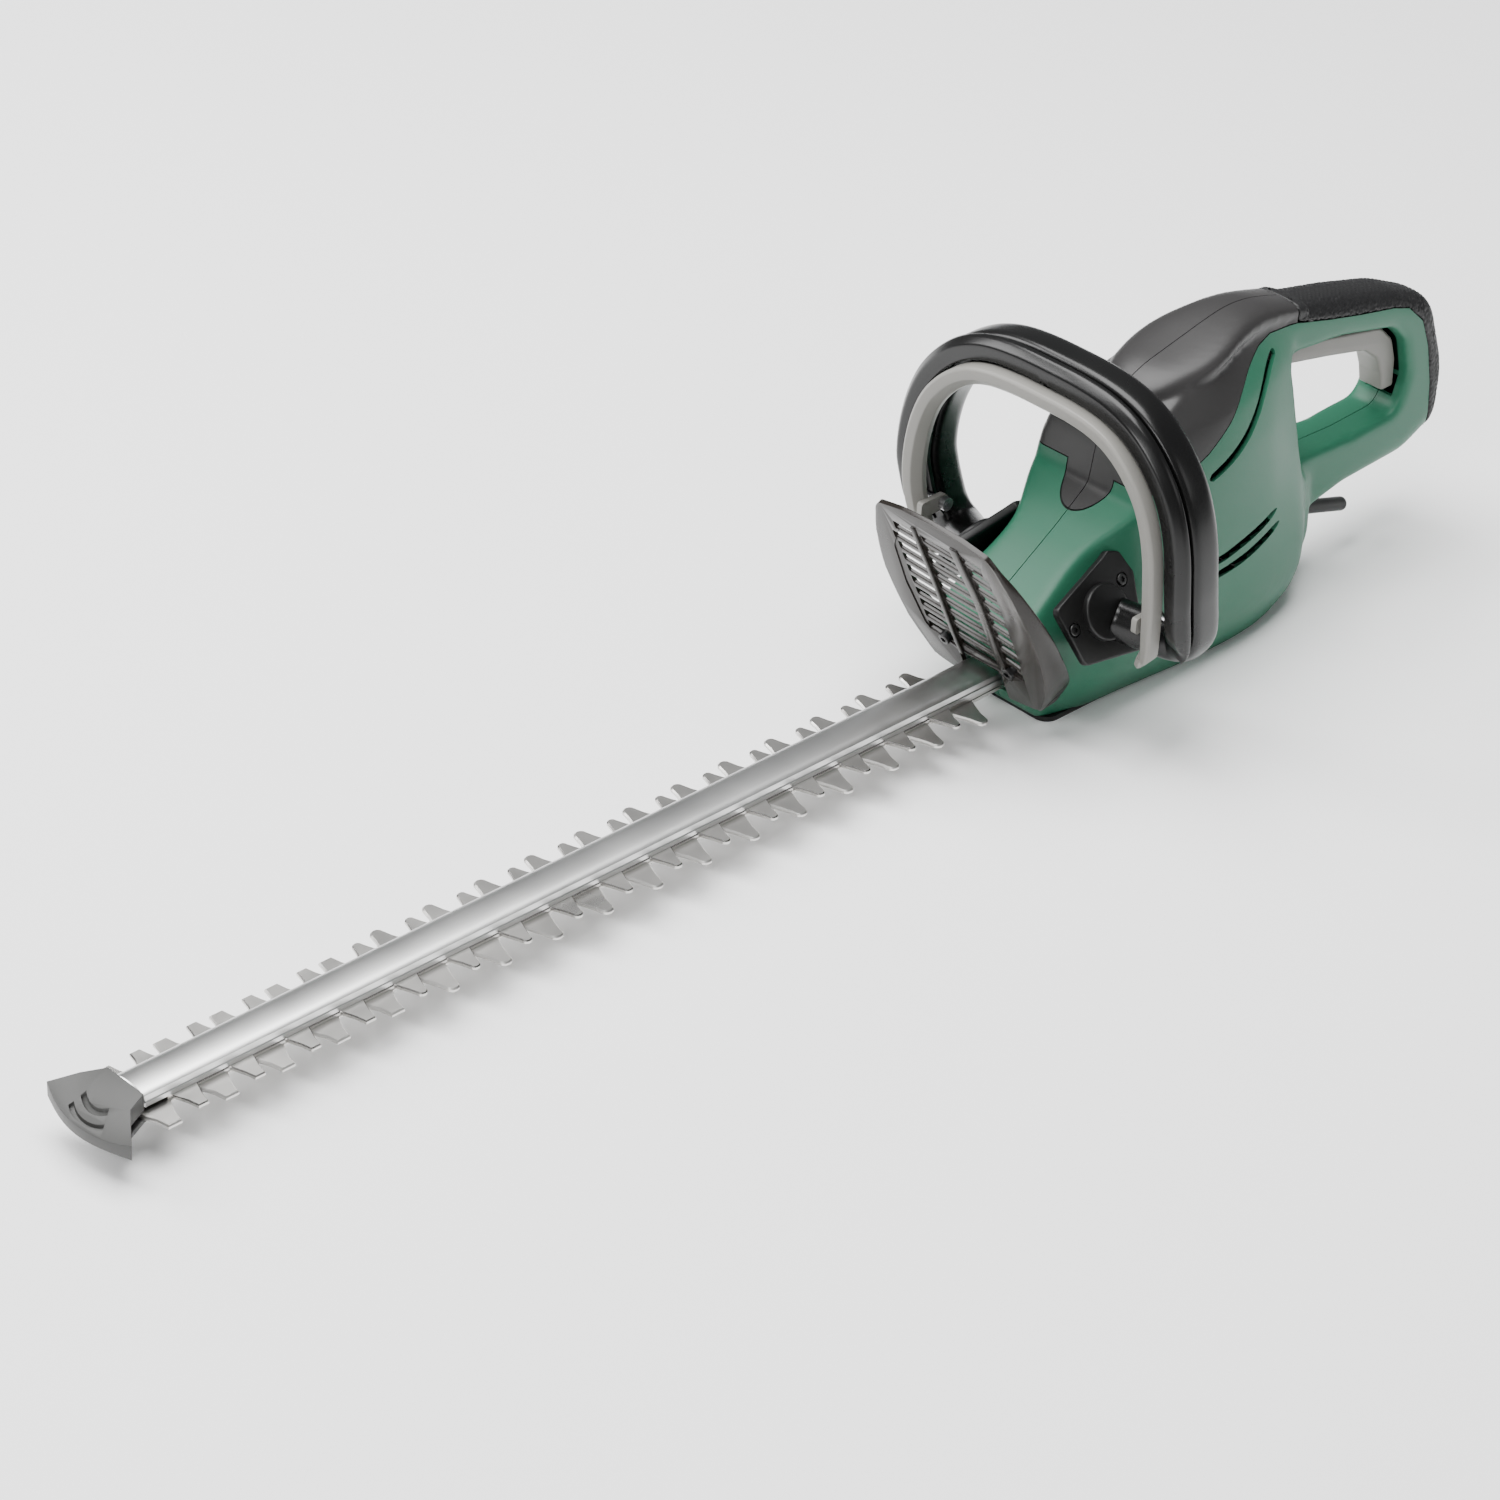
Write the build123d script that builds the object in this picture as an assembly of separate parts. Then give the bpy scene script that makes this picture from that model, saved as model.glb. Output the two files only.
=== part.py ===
from build123d import *
import math
import os

# Corded hedge trimmer with a 60 cm blade. Millimetres, +Z up, -X towards the blade's tip.
# The origin lies on the flat resting base, below the motor's axis. Left is -Y.

# ---- driving dimensions ----
TOOTH_PITCH = 34.0
TOOTH_COUNT = 17
CHISEL_TEETH = 5
FIRST_TOOTH_X = -706.0
SHEET = 2.0
SLIP = 0.1
COMB_Z = 20.0
CUTTER_Z = COMB_Z + SHEET + SLIP
BAR_Z = CUTTER_Z + SHEET + SLIP
BAR_HEIGHT = 8.0
BAR_HALF = 14.0
BAR_FRONT_X = -714.0
BAR_REAR_X = -106.0
COMB_REACH = 32.5
CUTTER_REACH = 27.5
CHISEL_REACH = 27.0
STRIP_HALF = 11.0
TOOTH_ROOT = 10.0
COMB_TIP_HALF = 4.0
CUTTER_TIP_HALF = 3.0
COMB_REAR_X = -64.0
CUTTER_REAR_X = -90.0
BLADE_OVERHANG = 9.0
BOLT_RADIUS = 2.5
BOLT_COUNT = 5
TAIL_BOLT_X = -70.0
TAIL_BOLT_Y = (-7, 7)
SMALL_BOLT = 2.0
FIT = 0.05
CRANK_RADIUS = 8.5
STROKE = 2 * CRANK_RADIUS
CUTTER_LEAD = 16.0
TIP_SCREW = 1.55
TIP_SCREW_X = BAR_FRONT_X + 7

MODULE = 1.25
GEAR_TEETH = 62
PINION_TEETH = 12
GEAR_RADIUS = MODULE * GEAR_TEETH / 2
PINION_RADIUS = MODULE * PINION_TEETH / 2
GEAR_X = -(GEAR_RADIUS + PINION_RADIUS)
GEAR_Z = 44.0
GEAR_THICK = 8.0
ROD_LENGTH = 42.0
ROD_Z = 35.0
ROD_THICK = 6.0
PIN_RADIUS = 4.0
PIN_X = GEAR_X - CRANK_RADIUS - ROD_LENGTH
ECCENTRIC_RADIUS = 16.5
RUNNING = 0.05

SHAFT_RADIUS = 4.0
STATOR_RADIUS = 37.0
ROTOR_RADIUS = 22.0
STATOR_BOTTOM = 92.0
STATOR_TOP = 134.0

WALL = 3.0
HANDLE_HALF = 17.5
PAD_DEPTH = 13.0
PAD_THICK = 2.0
GUARD_LEAN = math.degrees(math.atan(0.46))
GUARD_FOOT_X = -121.0
GUARD_THICK = 3.0
GUARD_SCREW_Y = (-24, 24)
GUARD_SCREW_RISE = 43.0

BAIL_REAR_X = -71.0
BAIL_SPLIT_X = -94.0
BAIL_FRONT_X = -103.0
BAIL_BAND = 24.0
BAIL_HALF = 109.0
BAIL_TOP = 207.0
BAIL_WAIST = 110.0
BAIL_FLOOR = 56.0
FRONT_SHELL_BAND = 13.0
BAIL_ARCH = [(0, 1), (0.41, 0.965), (0.725, 0.775), (0.93, 0.43), (1, 0)]
LEVER_FRONT_X = -110.0
LEVER_REAR_X = -100.5
LEVER_OUTER = 15.2
LEVER_INNER = 27.0
LEVER_EAR = (78.6, 82.4)
LEVER_PIVOT = (-89.0, 82.0)
LEVER_PIN_RADIUS = 2.0
ARM_RADIUS = 12.0
PLATE_CENTRE = (-96.0, 47.0, 69.0)
PLATE_TILT = 28.0

TRIGGER_PIVOT = (86.0, 150.0)
TRIGGER_HALF = 9.0
SPRING_X = 128.0
SPRING_FOOT = 143.0
SLEEVE_RADIUS = 4.4
SLEEVE_BORE = 3.0
SLEEVE_START = (96.0, 0.0, 42.5)
SLEEVE_DIR = (0.958, 0.0, -0.287)
SLEEVE_LENGTH = 78.0

PARTS = {}


def box(x0, x1, y0, y1, z0, z1):
    """Box between two corners."""
    centre = Pos((x0 + x1) / 2, (y0 + y1) / 2, (z0 + z1) / 2)
    return centre * Box(x1 - x0, y1 - y0, z1 - z0)


def rod(radius, z0, z1, x=0.0, y=0.0):
    """Upright cylinder."""
    return Pos(x, y, (z0 + z1) / 2) * Cylinder(radius, z1 - z0)


def ring(outer, inner, z0, z1, x=0.0, y=0.0):
    """Upright tube."""
    return rod(outer, z0, z1, x, y) - rod(inner, z0 - 1, z1 + 1, x, y)


def cross_rod(radius, x, z, y0, y1):
    """Cylinder along Y."""
    return Pos(x, (y0 + y1) / 2, z) * Rot(90, 0, 0) * Cylinder(radius, y1 - y0)


def long_rod(radius, x0, x1, y, z):
    """Cylinder along X."""
    return Pos((x0 + x1) / 2, y, z) * Rot(0, 90, 0) * Cylinder(radius, x1 - x0)


def side_prism(points, half, centre=0.0):
    """Side outline in X and Z, as thick as twice half about Y = centre."""
    face = make_face(Plane.XZ * Polyline(*points, close=True))
    return Pos(0, centre, 0) * extrude(face, half, both=True)


def plan_prism(points, z0, z1):
    """Plan outline in X and Y between two heights."""
    face = make_face(Polyline(*points, close=True))
    return Pos(0, 0, z0) * extrude(face, z1 - z0)


def together(solids):
    """Like pieces as one group of separate solids."""
    group = solids[0]
    for solid in solids[1:]:
        group += solid
    return group


def one_side(solid, sign):
    """The part of a solid on one side of the middle plane."""
    low, high = (0, 400) if sign > 0 else (-400, 0)
    return solid & box(-900, 400, low, high, -100, 400)


def both_sides(solid):
    """A solid and its mirror image across the middle plane."""
    return solid + mirror(solid, Plane.XZ)


# ---- blade assembly ----
def tooth(x, root, tip, root_half, tip_half):
    """One pair of tapered teeth, on both sides of a blade, as a plan outline."""
    return [
        (x - root_half, -root), (x - tip_half, -tip), (x + tip_half, -tip), (x + root_half, -root),
        (x + root_half, root), (x + tip_half, tip), (x - tip_half, tip), (x - root_half, root),
    ]


def blade_sheet(first_x, count, rear_x, z, long_reach, tip_half):
    """Toothed strip: chisel teeth near the tip and longer teeth behind them."""
    sheet = box(first_x - BLADE_OVERHANG, rear_x, -STRIP_HALF, STRIP_HALF, z, z + SHEET)
    for number in range(count):
        reach = CHISEL_REACH if number < CHISEL_TEETH else long_reach
        x = first_x + number * TOOTH_PITCH
        sheet += plan_prism(tooth(x, TOOTH_ROOT, reach, STRIP_HALF, tip_half), z, z + SHEET)
    return sheet


def bolt_places():
    """Places of the bolts along the blade."""
    return [FIRST_TOOTH_X + TOOTH_PITCH * (0.5 + 4 * step) for step in range(BOLT_COUNT)]


def comb_blade():
    sheet = blade_sheet(FIRST_TOOTH_X, TOOTH_COUNT, COMB_REAR_X, COMB_Z, COMB_REACH, COMB_TIP_HALF)
    for x in bolt_places():
        sheet -= rod(BOLT_RADIUS + FIT, COMB_Z - 1, CUTTER_Z, x)
    for y in TAIL_BOLT_Y:
        sheet -= rod(SMALL_BOLT + FIT, COMB_Z - 1, CUTTER_Z, TAIL_BOLT_X, y)
    return sheet - rod(TIP_SCREW + FIT, COMB_Z - 1, CUTTER_Z, TIP_SCREW_X)


def cutter_blade():
    first = FIRST_TOOTH_X - CUTTER_LEAD + TOOTH_PITCH
    sheet = blade_sheet(first, TOOTH_COUNT - 1, CUTTER_REAR_X, CUTTER_Z, CUTTER_REACH, CUTTER_TIP_HALF)
    slot_radius = BOLT_RADIUS + 0.5
    for x in bolt_places():
        for end in (x - STROKE - 0.2, x + 0.2):
            sheet -= rod(slot_radius, CUTTER_Z - 1, BAR_Z, end)
        sheet -= box(x - STROKE - 0.2, x + 0.2, -slot_radius, slot_radius, CUTTER_Z - 1, BAR_Z)
    return sheet - rod(PIN_RADIUS, CUTTER_Z - 1, BAR_Z, PIN_X)


def cutter_pin():
    """Drive pin riveted in the cutter's tail, 0.5 mm short of the rod."""
    return rod(PIN_RADIUS, CUTTER_Z, ROD_Z - 0.5, PIN_X)


def blade_bar():
    face = make_face(Plane.YZ * Polyline(
        (-BAR_HALF, 0), (BAR_HALF, 0), (BAR_HALF, 3.5), (BAR_HALF - 4, BAR_HEIGHT),
        (4 - BAR_HALF, BAR_HEIGHT), (-BAR_HALF, 3.5), close=True))
    bar = Pos(BAR_FRONT_X, 0, BAR_Z) * extrude(face, BAR_REAR_X - BAR_FRONT_X)
    bar = fillet(bar.edges().filter_by(Axis.X).group_by(Axis.Z)[-1], 3.5)
    for x in bolt_places():
        bar -= rod(BOLT_RADIUS + FIT, BAR_Z - 1, BAR_Z + 5, x)
    for x in (TIP_SCREW_X, BAR_REAR_X - 7):
        bar -= rod(SMALL_BOLT + FIT, BAR_Z - 1, BAR_Z + 5, x)
    return bar


def blade_bolts():
    bolt = rod(BOLT_RADIUS, COMB_Z - SHEET, BAR_Z + 4.5)
    bolt += Pos(0, 0, COMB_Z - 3.2) * extrude(RegularPolygon(4.6, 6), 3.2)
    return together([Pos(x, 0, 0) * bolt for x in bolt_places()])


def tip_guard():
    """Fan-shaped bumper over the blade's tip, with two grooves along its front arc."""
    outline = Polyline((BAR_FRONT_X + 12, -10), (BAR_FRONT_X - 2, -16), (-737, -33))
    front = ThreePointArc((-737, -33), (-745, 0), (-737, 33))
    back = Polyline((-737, 33), (BAR_FRONT_X - 2, 16), (BAR_FRONT_X + 12, 10), (BAR_FRONT_X + 12, -10))
    fan = extrude(make_face(outline + front + back), 17)
    fan = Pos(0, 0, 17) * fan
    fan -= box(BAR_FRONT_X - 1, 0, -BAR_HALF - 1, BAR_HALF + 1, BAR_Z, 60)
    fan -= box(-732, 0, -40, 40, COMB_Z - SLIP, BAR_Z)
    for radius in (27.5, 21.5):
        groove = ring(radius, radius - 2.8, 31.5, 40, -714) & box(-760, -720, -16, 16, 0, 60)
        fan -= groove
    return fan - rod(TIP_SCREW + FIT, 10, 60, TIP_SCREW_X)


def tip_guard_screw():
    return rod(TIP_SCREW, 17, BAR_Z + 4.5, TIP_SCREW_X) + rod(3.2, 14.8, 17, TIP_SCREW_X)


# ---- gearbox ----
def gear_outline(teeth, shift):
    """Plan points of an involute gear with short teeth, turned by shift teeth."""
    pitch_radius = MODULE * teeth / 2
    base = pitch_radius * math.cos(math.radians(25))
    root = pitch_radius - 1.15 * MODULE
    tip = pitch_radius + 0.8 * MODULE
    roll = math.tan(math.radians(25)) - math.radians(25)
    half_tooth = math.pi / (2 * teeth) - 0.09 / pitch_radius + roll
    radii = [max(base, root) + (tip - max(base, root)) * step / 3 for step in range(4)]
    points = []
    for number in range(teeth):
        middle = 2 * math.pi * (number + shift) / teeth
        flank = []
        for radius in radii:
            angle = math.acos(min(1.0, base / radius))
            flank.append((radius, half_tooth - (math.tan(angle) - angle)))
        if base > root:
            flank.insert(0, (root, flank[0][1]))
        for radius, angle in flank:
            points.append((radius * math.cos(middle - angle), radius * math.sin(middle - angle)))
        for radius, angle in reversed(flank):
            points.append((radius * math.cos(middle + angle), radius * math.sin(middle + angle)))
    return points


def drive_gear():
    """Spur gear with the eccentric that works the connecting rod."""
    gear = Pos(GEAR_X, 0, 0) * plan_prism(gear_outline(GEAR_TEETH, 0), GEAR_Z, GEAR_Z + GEAR_THICK)
    gear += rod(ECCENTRIC_RADIUS, ROD_Z - 1, GEAR_Z, GEAR_X - CRANK_RADIUS)
    for number in range(4):
        angle = math.radians(45 + 90 * number)
        x = GEAR_X + 25 * math.cos(angle)
        gear -= rod(6.5, GEAR_Z + 3, GEAR_Z + GEAR_THICK + 1, x, 25 * math.sin(angle))
    return gear - rod(7.0, ROD_Z - 3, GEAR_Z + GEAR_THICK + 1, GEAR_X)


def gear_bush():
    return ring(7.0, 5.0 + RUNNING, ROD_Z - 1, GEAR_Z + GEAR_THICK, GEAR_X)


def gear_axle():
    return rod(5.0, 24.2, 57.0, GEAR_X)


def connecting_rod():
    big_x = GEAR_X - CRANK_RADIUS
    small_x = big_x - ROD_LENGTH
    link = rod(22, ROD_Z, ROD_Z + ROD_THICK, big_x)
    link += box(small_x, big_x, -7, 7, ROD_Z, ROD_Z + ROD_THICK)
    link += rod(9, ROD_Z, ROD_Z + ROD_THICK, small_x)
    link -= rod(ECCENTRIC_RADIUS + RUNNING, ROD_Z - 1, ROD_Z + ROD_THICK + 1, big_x)
    return link - rod(4.2, ROD_Z - 1, ROD_Z + ROD_THICK + 1, small_x)


def gearbox_bolt_places():
    """Four bolts that clamp the gearbox to the base plate."""
    return [(-110.0, -17.5), (-110.0, 17.5), (-6.25, -24), (-6.25, 24)]


def gearbox_housing():
    """Cast cover over the gear, open below, that also carries the lower motor bearing."""
    cover = rod(45, 33.2, 58, GEAR_X) + box(-118, GEAR_X, -21, 21, 33.2, 46)
    cover += rod(16, 54, 70)
    for x, y in gearbox_bolt_places():
        cover += rod(4.5, 33.2, 58, x, y) & box(-118, 10, -40, 40, 0, 58)
    cover -= rod(41.5, 30, 54, GEAR_X) + box(-107, GEAR_X, -18.5, 18.5, 30, 43)
    cover -= rod(9.0, 30, 54.5)
    cover -= rod(11.02, 60, 71) + rod(6.0, 50, 71)
    cover -= rod(5.02, 50, 57.0, GEAR_X)
    for x, y in gearbox_bolt_places():
        cover -= rod(2.02, 30, 45, x, y)
    return cover


def gearbox_bolts():
    bolt = rod(SMALL_BOLT, 1.8, 44.5) + rod(3.5, 0.2, 1.8)
    return together([Pos(x, y, 0) * bolt for x, y in gearbox_bolt_places()])


def blade_guide():
    """Steel block between gearbox and cutter, slotted for the cutter's pin."""
    block = box(-118, -30, -21, 21, BAR_Z + 0.1, 33.2)
    block -= box(-118.5, BAR_REAR_X + 0.2, -14.2, 14.2, 20, 40)
    for x, y in gearbox_bolt_places():
        block -= rod(SMALL_BOLT + FIT, 20, 40, x, y)
    block -= box(-103, -73.5, -5, 5, 20, 40)
    block -= rod(5.02, 20, 40, GEAR_X)
    for y in TAIL_BOLT_Y:
        block -= rod(SMALL_BOLT + FIT, 20, 40, TAIL_BOLT_X, y)
    return block


def clamp_block():
    """Block under the blade's tail."""
    block = box(-113.8, -60, -22, 22, WALL, COMB_Z)
    for x, y in gearbox_bolt_places():
        block -= rod(SMALL_BOLT + FIT, 0, 30, x, y)
    for y in TAIL_BOLT_Y:
        block -= rod(SMALL_BOLT + FIT, 0, 30, TAIL_BOLT_X, y)
    return block


def tail_bolts():
    return together([rod(SMALL_BOLT, 8, 31, TAIL_BOLT_X, y) for y in TAIL_BOLT_Y])


def base_plate():
    plate = box(-115, 58, -33, 33, 0, WALL)
    plate = fillet(plate.edges().filter_by(Axis.Z), 8)
    for x, y in base_screw_places():
        plate -= rod(2.3, -1, 5, x, y) + rod(4.2, -1, 1.6, x, y)
    for x, y in gearbox_bolt_places():
        plate -= rod(2.05, -1, 5, x, y) + rod(3.6, -1, 1.8, x, y)
    return plate


def base_screw_places():
    return [(-96, -27), (-96, 27), (48, -27), (48, 27)]


def base_screws():
    screw = rod(4.1, 0.1, 1.6) + rod(2.2, 1.6, 12)
    return together([Pos(x, y, 0) * screw for x, y in base_screw_places()])


# ---- motor ----
def rotor_shaft():
    """Shaft with the pinion cut on its lower end."""
    pinion = plan_prism(gear_outline(PINION_TEETH, 0.5), GEAR_Z - 1, GEAR_Z + GEAR_THICK + 1)
    return pinion + rod(SHAFT_RADIUS, GEAR_Z - 1, 171)


def rotor_core():
    core = ring(ROTOR_RADIUS, SHAFT_RADIUS, STATOR_BOTTOM + 1, STATOR_TOP - 1)
    for number in range(12):
        slot = box(ROTOR_RADIUS - 8, ROTOR_RADIUS + 1, -1, 1, STATOR_BOTTOM, STATOR_TOP)
        core -= Rot(0, 0, 30 * number) * slot
    return core


def rotor_coils():
    lower = ring(18, SHAFT_RADIUS, STATOR_BOTTOM - 5, STATOR_BOTTOM + 1)
    upper = ring(18, SHAFT_RADIUS, STATOR_TOP - 1, STATOR_TOP + 5)
    return lower + upper


def commutator():
    drum = ring(12, SHAFT_RADIUS, 141, 155)
    for number in range(24):
        drum -= Rot(0, 0, 15 * number) * box(11, 13, -0.3, 0.3, 140, 156)
    return drum


def cooling_fan():
    fan = ring(34, SHAFT_RADIUS, 72, 74) + ring(9, SHAFT_RADIUS, 72, 86)
    for number in range(13):
        vane = box(12, 34, -0.9, 0.9, 74, 84)
        fan += Rot(0, 0, 360 / 13 * number) * vane
    return fan


def stator_core():
    core = ring(STATOR_RADIUS, 30, STATOR_BOTTOM, STATOR_TOP)
    pole = ring(31, ROTOR_RADIUS + 0.6, STATOR_BOTTOM, STATOR_TOP)
    core += pole & (box(-17, 17, -40, 40, 0, 200))
    return core


def stator_coils():
    return ring(29.8, 24, STATOR_BOTTOM - 4, STATOR_TOP + 4) - box(-17.2, 17.2, -40, 40, 0, 200)


def bearing(outer, z0, z1, x=0.0):
    return ring(outer, SHAFT_RADIUS + 0.03, z0, z1, x)


def upper_bearing():
    return bearing(9.5, 159, 166)


def lower_bearing():
    return bearing(11.0, 60, 67)


def bearing_bridge():
    """Bridge inside the hood that holds the upper bearing and the brushes."""
    bridge = rod(13, 158, 170) + box(-34, 34, -6, 6, 166.5, 170)
    bridge -= rod(9.52, 157, 166.1)
    return bridge - rod(6, 160, 175)


def brush_holders():
    tube = box(-5, 5, 13.5, 32, 144, 152) - box(-3.1, 3.1, 13, 33, 145, 151)
    return both_sides(tube)


def carbon_brushes():
    return both_sides(box(-3, 3, 12.4, 26, 145.1, 150.9))


def brush_springs():
    return both_sides(box(-2, 2, 26.2, 31.5, 146, 150))


def air_baffle():
    """Ring between fan and stator that turns the cooling air outwards."""
    return ring(38.5, 31, 87, 89)


# ---- housing ----
def body_level(z, halves, tip_x, inset):
    """Plan outline of the body at one height, through half widths at fixed stations."""
    stations = (-152, -118, -88, -55, 0, 45, 85, 106)
    side = [(x + (inset if x == -152 else 0), half - inset) for x, half in zip(stations, halves)]
    last = (side[-1][0] - inset, side[-1][1])
    side[-1] = last
    upper = Spline(*side)
    lower = mirror(upper, Plane.XZ)
    tail = ThreePointArc(last, (tip_x - inset, 0), (last[0], -last[1]))
    nose = Line((side[0][0], -side[0][1]), side[0])
    return Pos(0, 0, z) * make_face(upper + lower + tail + nose)


def body_width_form(inset):
    """Tapering form that limits the body's width from base to hood."""
    levels = [
        body_level(-0.5 + inset, (20, 27, 36, 42, 42, 40, 31, 19), 112, inset),
        body_level(28, (26, 36, 47, 50, 50, 47.5, 38, 24), 122, inset),
        body_level(60, (26, 37, 47, 50, 50, 47, 36, 22), 121, inset),
        body_level(95, (14, 18, 27, 44, 48, 43, 28, 19), 112, inset),
        body_level(135, (11, 14, 22, 42, 45, 38, 22, 18), 110, inset),
        body_level(182, (11, 14, 20, 36, 38, 31, 19, 17.5), 110, inset),
        body_level(214, (10, 12, 14, 22, 23, 19, 15, 14), 110, inset),
    ]
    return loft(levels, ruled=True)


def body_side_face(inset):
    """Side outline of the body with its hood."""
    points = [
        (-116, 0), (66, 0), (92, 8), (110, 24), (120, 40), (120, 62), (95, 80), (81, 150),
        (92, 189), (58, 201), (28, 208), (0, 210), (-30, 210), (-50, 205), (-59, 190),
        (-59, 112), (-84, 98), (-104, 85), (-143, 60),
    ]
    face = make_face(Plane.XZ * Polyline(*points, close=True))
    if inset:
        face = offset(face, -inset, kind=Kind.INTERSECTION)
    return extrude(face, 80, both=True)


def handle_outline(inset):
    """Side outline of the rear handle loop without its opening."""
    corners = [
        ((40, 190), 0), ((101, 184), 0), ((139, 177), 60), ((184, 165.5), 60), ((222, 150), 24),
        ((241, 100), 60), ((240, 57), 14), ((206, 44.5), 24), ((141, 43), 0), ((118, 37), 0), ((60, 30), 0),
    ]
    face = make_face(Plane.XZ * Polyline(*[point for point, radius in corners], close=True))
    for (x, z), radius in corners:
        if radius:
            corner = face.vertices().sort_by_distance(Vector(x, 0, z))[0]
            face = fillet(corner, radius)
    if inset:
        face = offset(face, -inset, kind=Kind.INTERSECTION)
    return face


def handle_opening(grow):
    """Side outline of the hand opening in the rear handle."""
    corners = [(97, 80), (190, 80), (197, 100), (190, 127), (178, 140), (130, 150), (83, 153)]
    face = make_face(Plane.XZ * Polyline(*corners, close=True))
    face = fillet(face.vertices(), 7)
    if grow:
        face = offset(face, grow)
    return face


def handle_form(inset):
    loop = extrude(handle_outline(inset), HANDLE_HALF - inset, both=True)
    loop -= extrude(handle_opening(inset), 60, both=True)
    return loop


def pad_zone():
    """Band along the top and back of the rear handle that the soft grip fills."""
    face = handle_outline(0) - handle_outline(PAD_DEPTH)
    band = extrude(face, 30, both=True)
    return band & box(96, 260, -40, 40, 62, 200)


def hood_zone(gap):
    """Side region of the hood, above the border line with the green housing."""
    points = [
        (-80, 112), (-57, 114), (-35, 126), (-12, 138), (9, 147), (33, 160), (48, 176), (70, 183), (94, 187),
        (94, 230), (-80, 230),
    ]
    face = make_face(Plane.XZ * Polyline(*points, close=True))
    if gap:
        face = offset(face, -gap, kind=Kind.INTERSECTION)
    return extrude(face, 80, both=True)


def trigger_slot():
    """Room for the trigger and its travel through the inner wall of the handle."""
    points = [
        (80, 140), (80, 158), (130, 157), (178, 150), (198, 132), (204, 92), (180, 92), (176, 118), (166, 128),
    ]
    return side_prism(points, TRIGGER_HALF + 0.5)


def body_shell():
    """Outer form of body and handle, hollow inside."""
    outer = (body_width_form(0) & body_side_face(0)) + handle_form(0)
    inner = (body_width_form(WALL) & body_side_face(WALL)) + handle_form(WALL)
    return outer, inner


def screw_places():
    """Housing screws, driven from the left half into the right half."""
    return [(-70, 78), (70, 18), (104, 66), (100, 168), (222, 78)]


def build_housing():
    """Splits the outer form into housing halves, hood halves and soft grip."""
    outer, inner = body_shell()
    pad = pad_zone()
    core = handle_form(PAD_THICK)
    shell = outer - inner
    pad_solid = (outer & pad) - (core & pad)
    hood = (shell & hood_zone(0)) - box(95, 260, -60, 60, 0, 260) - pad
    under_pad = (core & pad) - inner_under_pad()
    green = (shell - hood_zone(-0.4) - pad) + under_pad
    green -= box(-115.1, 58.1, -33.1, 33.1, -2, WALL)
    green -= box(-160, BAR_REAR_X + 2, -16, 16, -2, 34)
    green -= trigger_slot()
    green -= sleeve_rod(SLEEVE_RADIUS + RUNNING)
    for x, z in screw_places():
        boss = cross_rod(4.5, x, z, -40, 40) & outer
        boss = boss - cross_rod(1.5, x, z, -80, 80) - pad
        green += boss - hood_zone(-0.4)
    green -= cross_rod(2.01, TRIGGER_PIVOT[0], TRIGGER_PIVOT[1], -13, 13)
    for sign in (-1, 1):
        green -= handle_plate(sign)
    for x, z in plate_screw_places():
        green -= both_sides(on_plate(Pos(x, 0, z) * Rot(90, 0, 0) * Cylinder(2.02, 12)))
    for y in GUARD_SCREW_Y:
        green -= guard_plane() * (Pos(y, GUARD_SCREW_RISE, 0) * Cylinder(2.02, 30))
    for sign, side in ((-1, "left"), (1, "right")):
        half = one_side(green, sign)
        if sign < 0:
            for x, z in screw_places():
                half -= cross_rod(3.2, x, z, -80, -14)
        PARTS["housing_" + side] = half
        PARTS["hood_" + side] = one_side(hood, sign)
    PARTS["rear_grip_pad"] = pad_solid


def inner_under_pad():
    """Hollow of the handle below the soft grip."""
    return handle_form(PAD_THICK + WALL)


def housing_screws():
    screw = cross_rod(1.45, 0, 0, -14, 10) + cross_rod(2.9, 0, 0, -16.5, -14)
    return together([Pos(x, 0, z) * screw for x, z in screw_places()])


# ---- guard ----
def guard_plane():
    """Leaning plane of the guard: local x is -Y, local y runs up the guard."""
    lean = math.radians(GUARD_LEAN)
    return Plane(origin=(GUARD_FOOT_X, 0, 0), x_dir=(0, -1, 0), z_dir=(-math.cos(lean), 0, -math.sin(lean)))


def hand_guard():
    side = [(15.5, 15), (40, 20), (52, 50), (56, 88), (43, 146)]
    left = [(-x, y) for x, y in reversed(side)]
    arch = ThreePointArc(side[-1], (0, 153), left[0])
    face = make_face(Polyline(*side) + arch + Polyline(*left, (-15.5, 38), (15.5, 38), side[0]))
    for row in range(9):
        y = 48 + 10 * row
        for x0, x1 in ((-33, -14), (-11, 17), (20, 34)):
            slot = Pos((x0 + x1) / 2, y) * Rectangle(x1 - x0, 5)
            face -= slot
    plane = guard_plane()
    guard = extrude(plane * face, -GUARD_THICK)
    rib = Pos(0, 95) * Rectangle(3, 96)
    for x in (-12.5, 18.5):
        guard += extrude(plane * (Pos(x, 0) * rib), 2.5)
    wing = side_prism([(-160, 88), (-150, 88), (-118, 30), (-121, 14), (-136, 34)], 1.5, 54.5)
    guard += both_sides(wing)
    for y in GUARD_SCREW_Y:
        guard -= plane * (Pos(y, GUARD_SCREW_RISE, 0) * Cylinder(2.05, 20))
    return guard


def guard_screws():
    screw = Pos(0, GUARD_SCREW_RISE, 1) * Cylinder(3.6, 2)
    screw += Pos(0, GUARD_SCREW_RISE, -3.4) * Cylinder(SMALL_BOLT, 6.8)
    return together([guard_plane() * (Pos(y, 0, 0) * screw) for y in GUARD_SCREW_Y])


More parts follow.
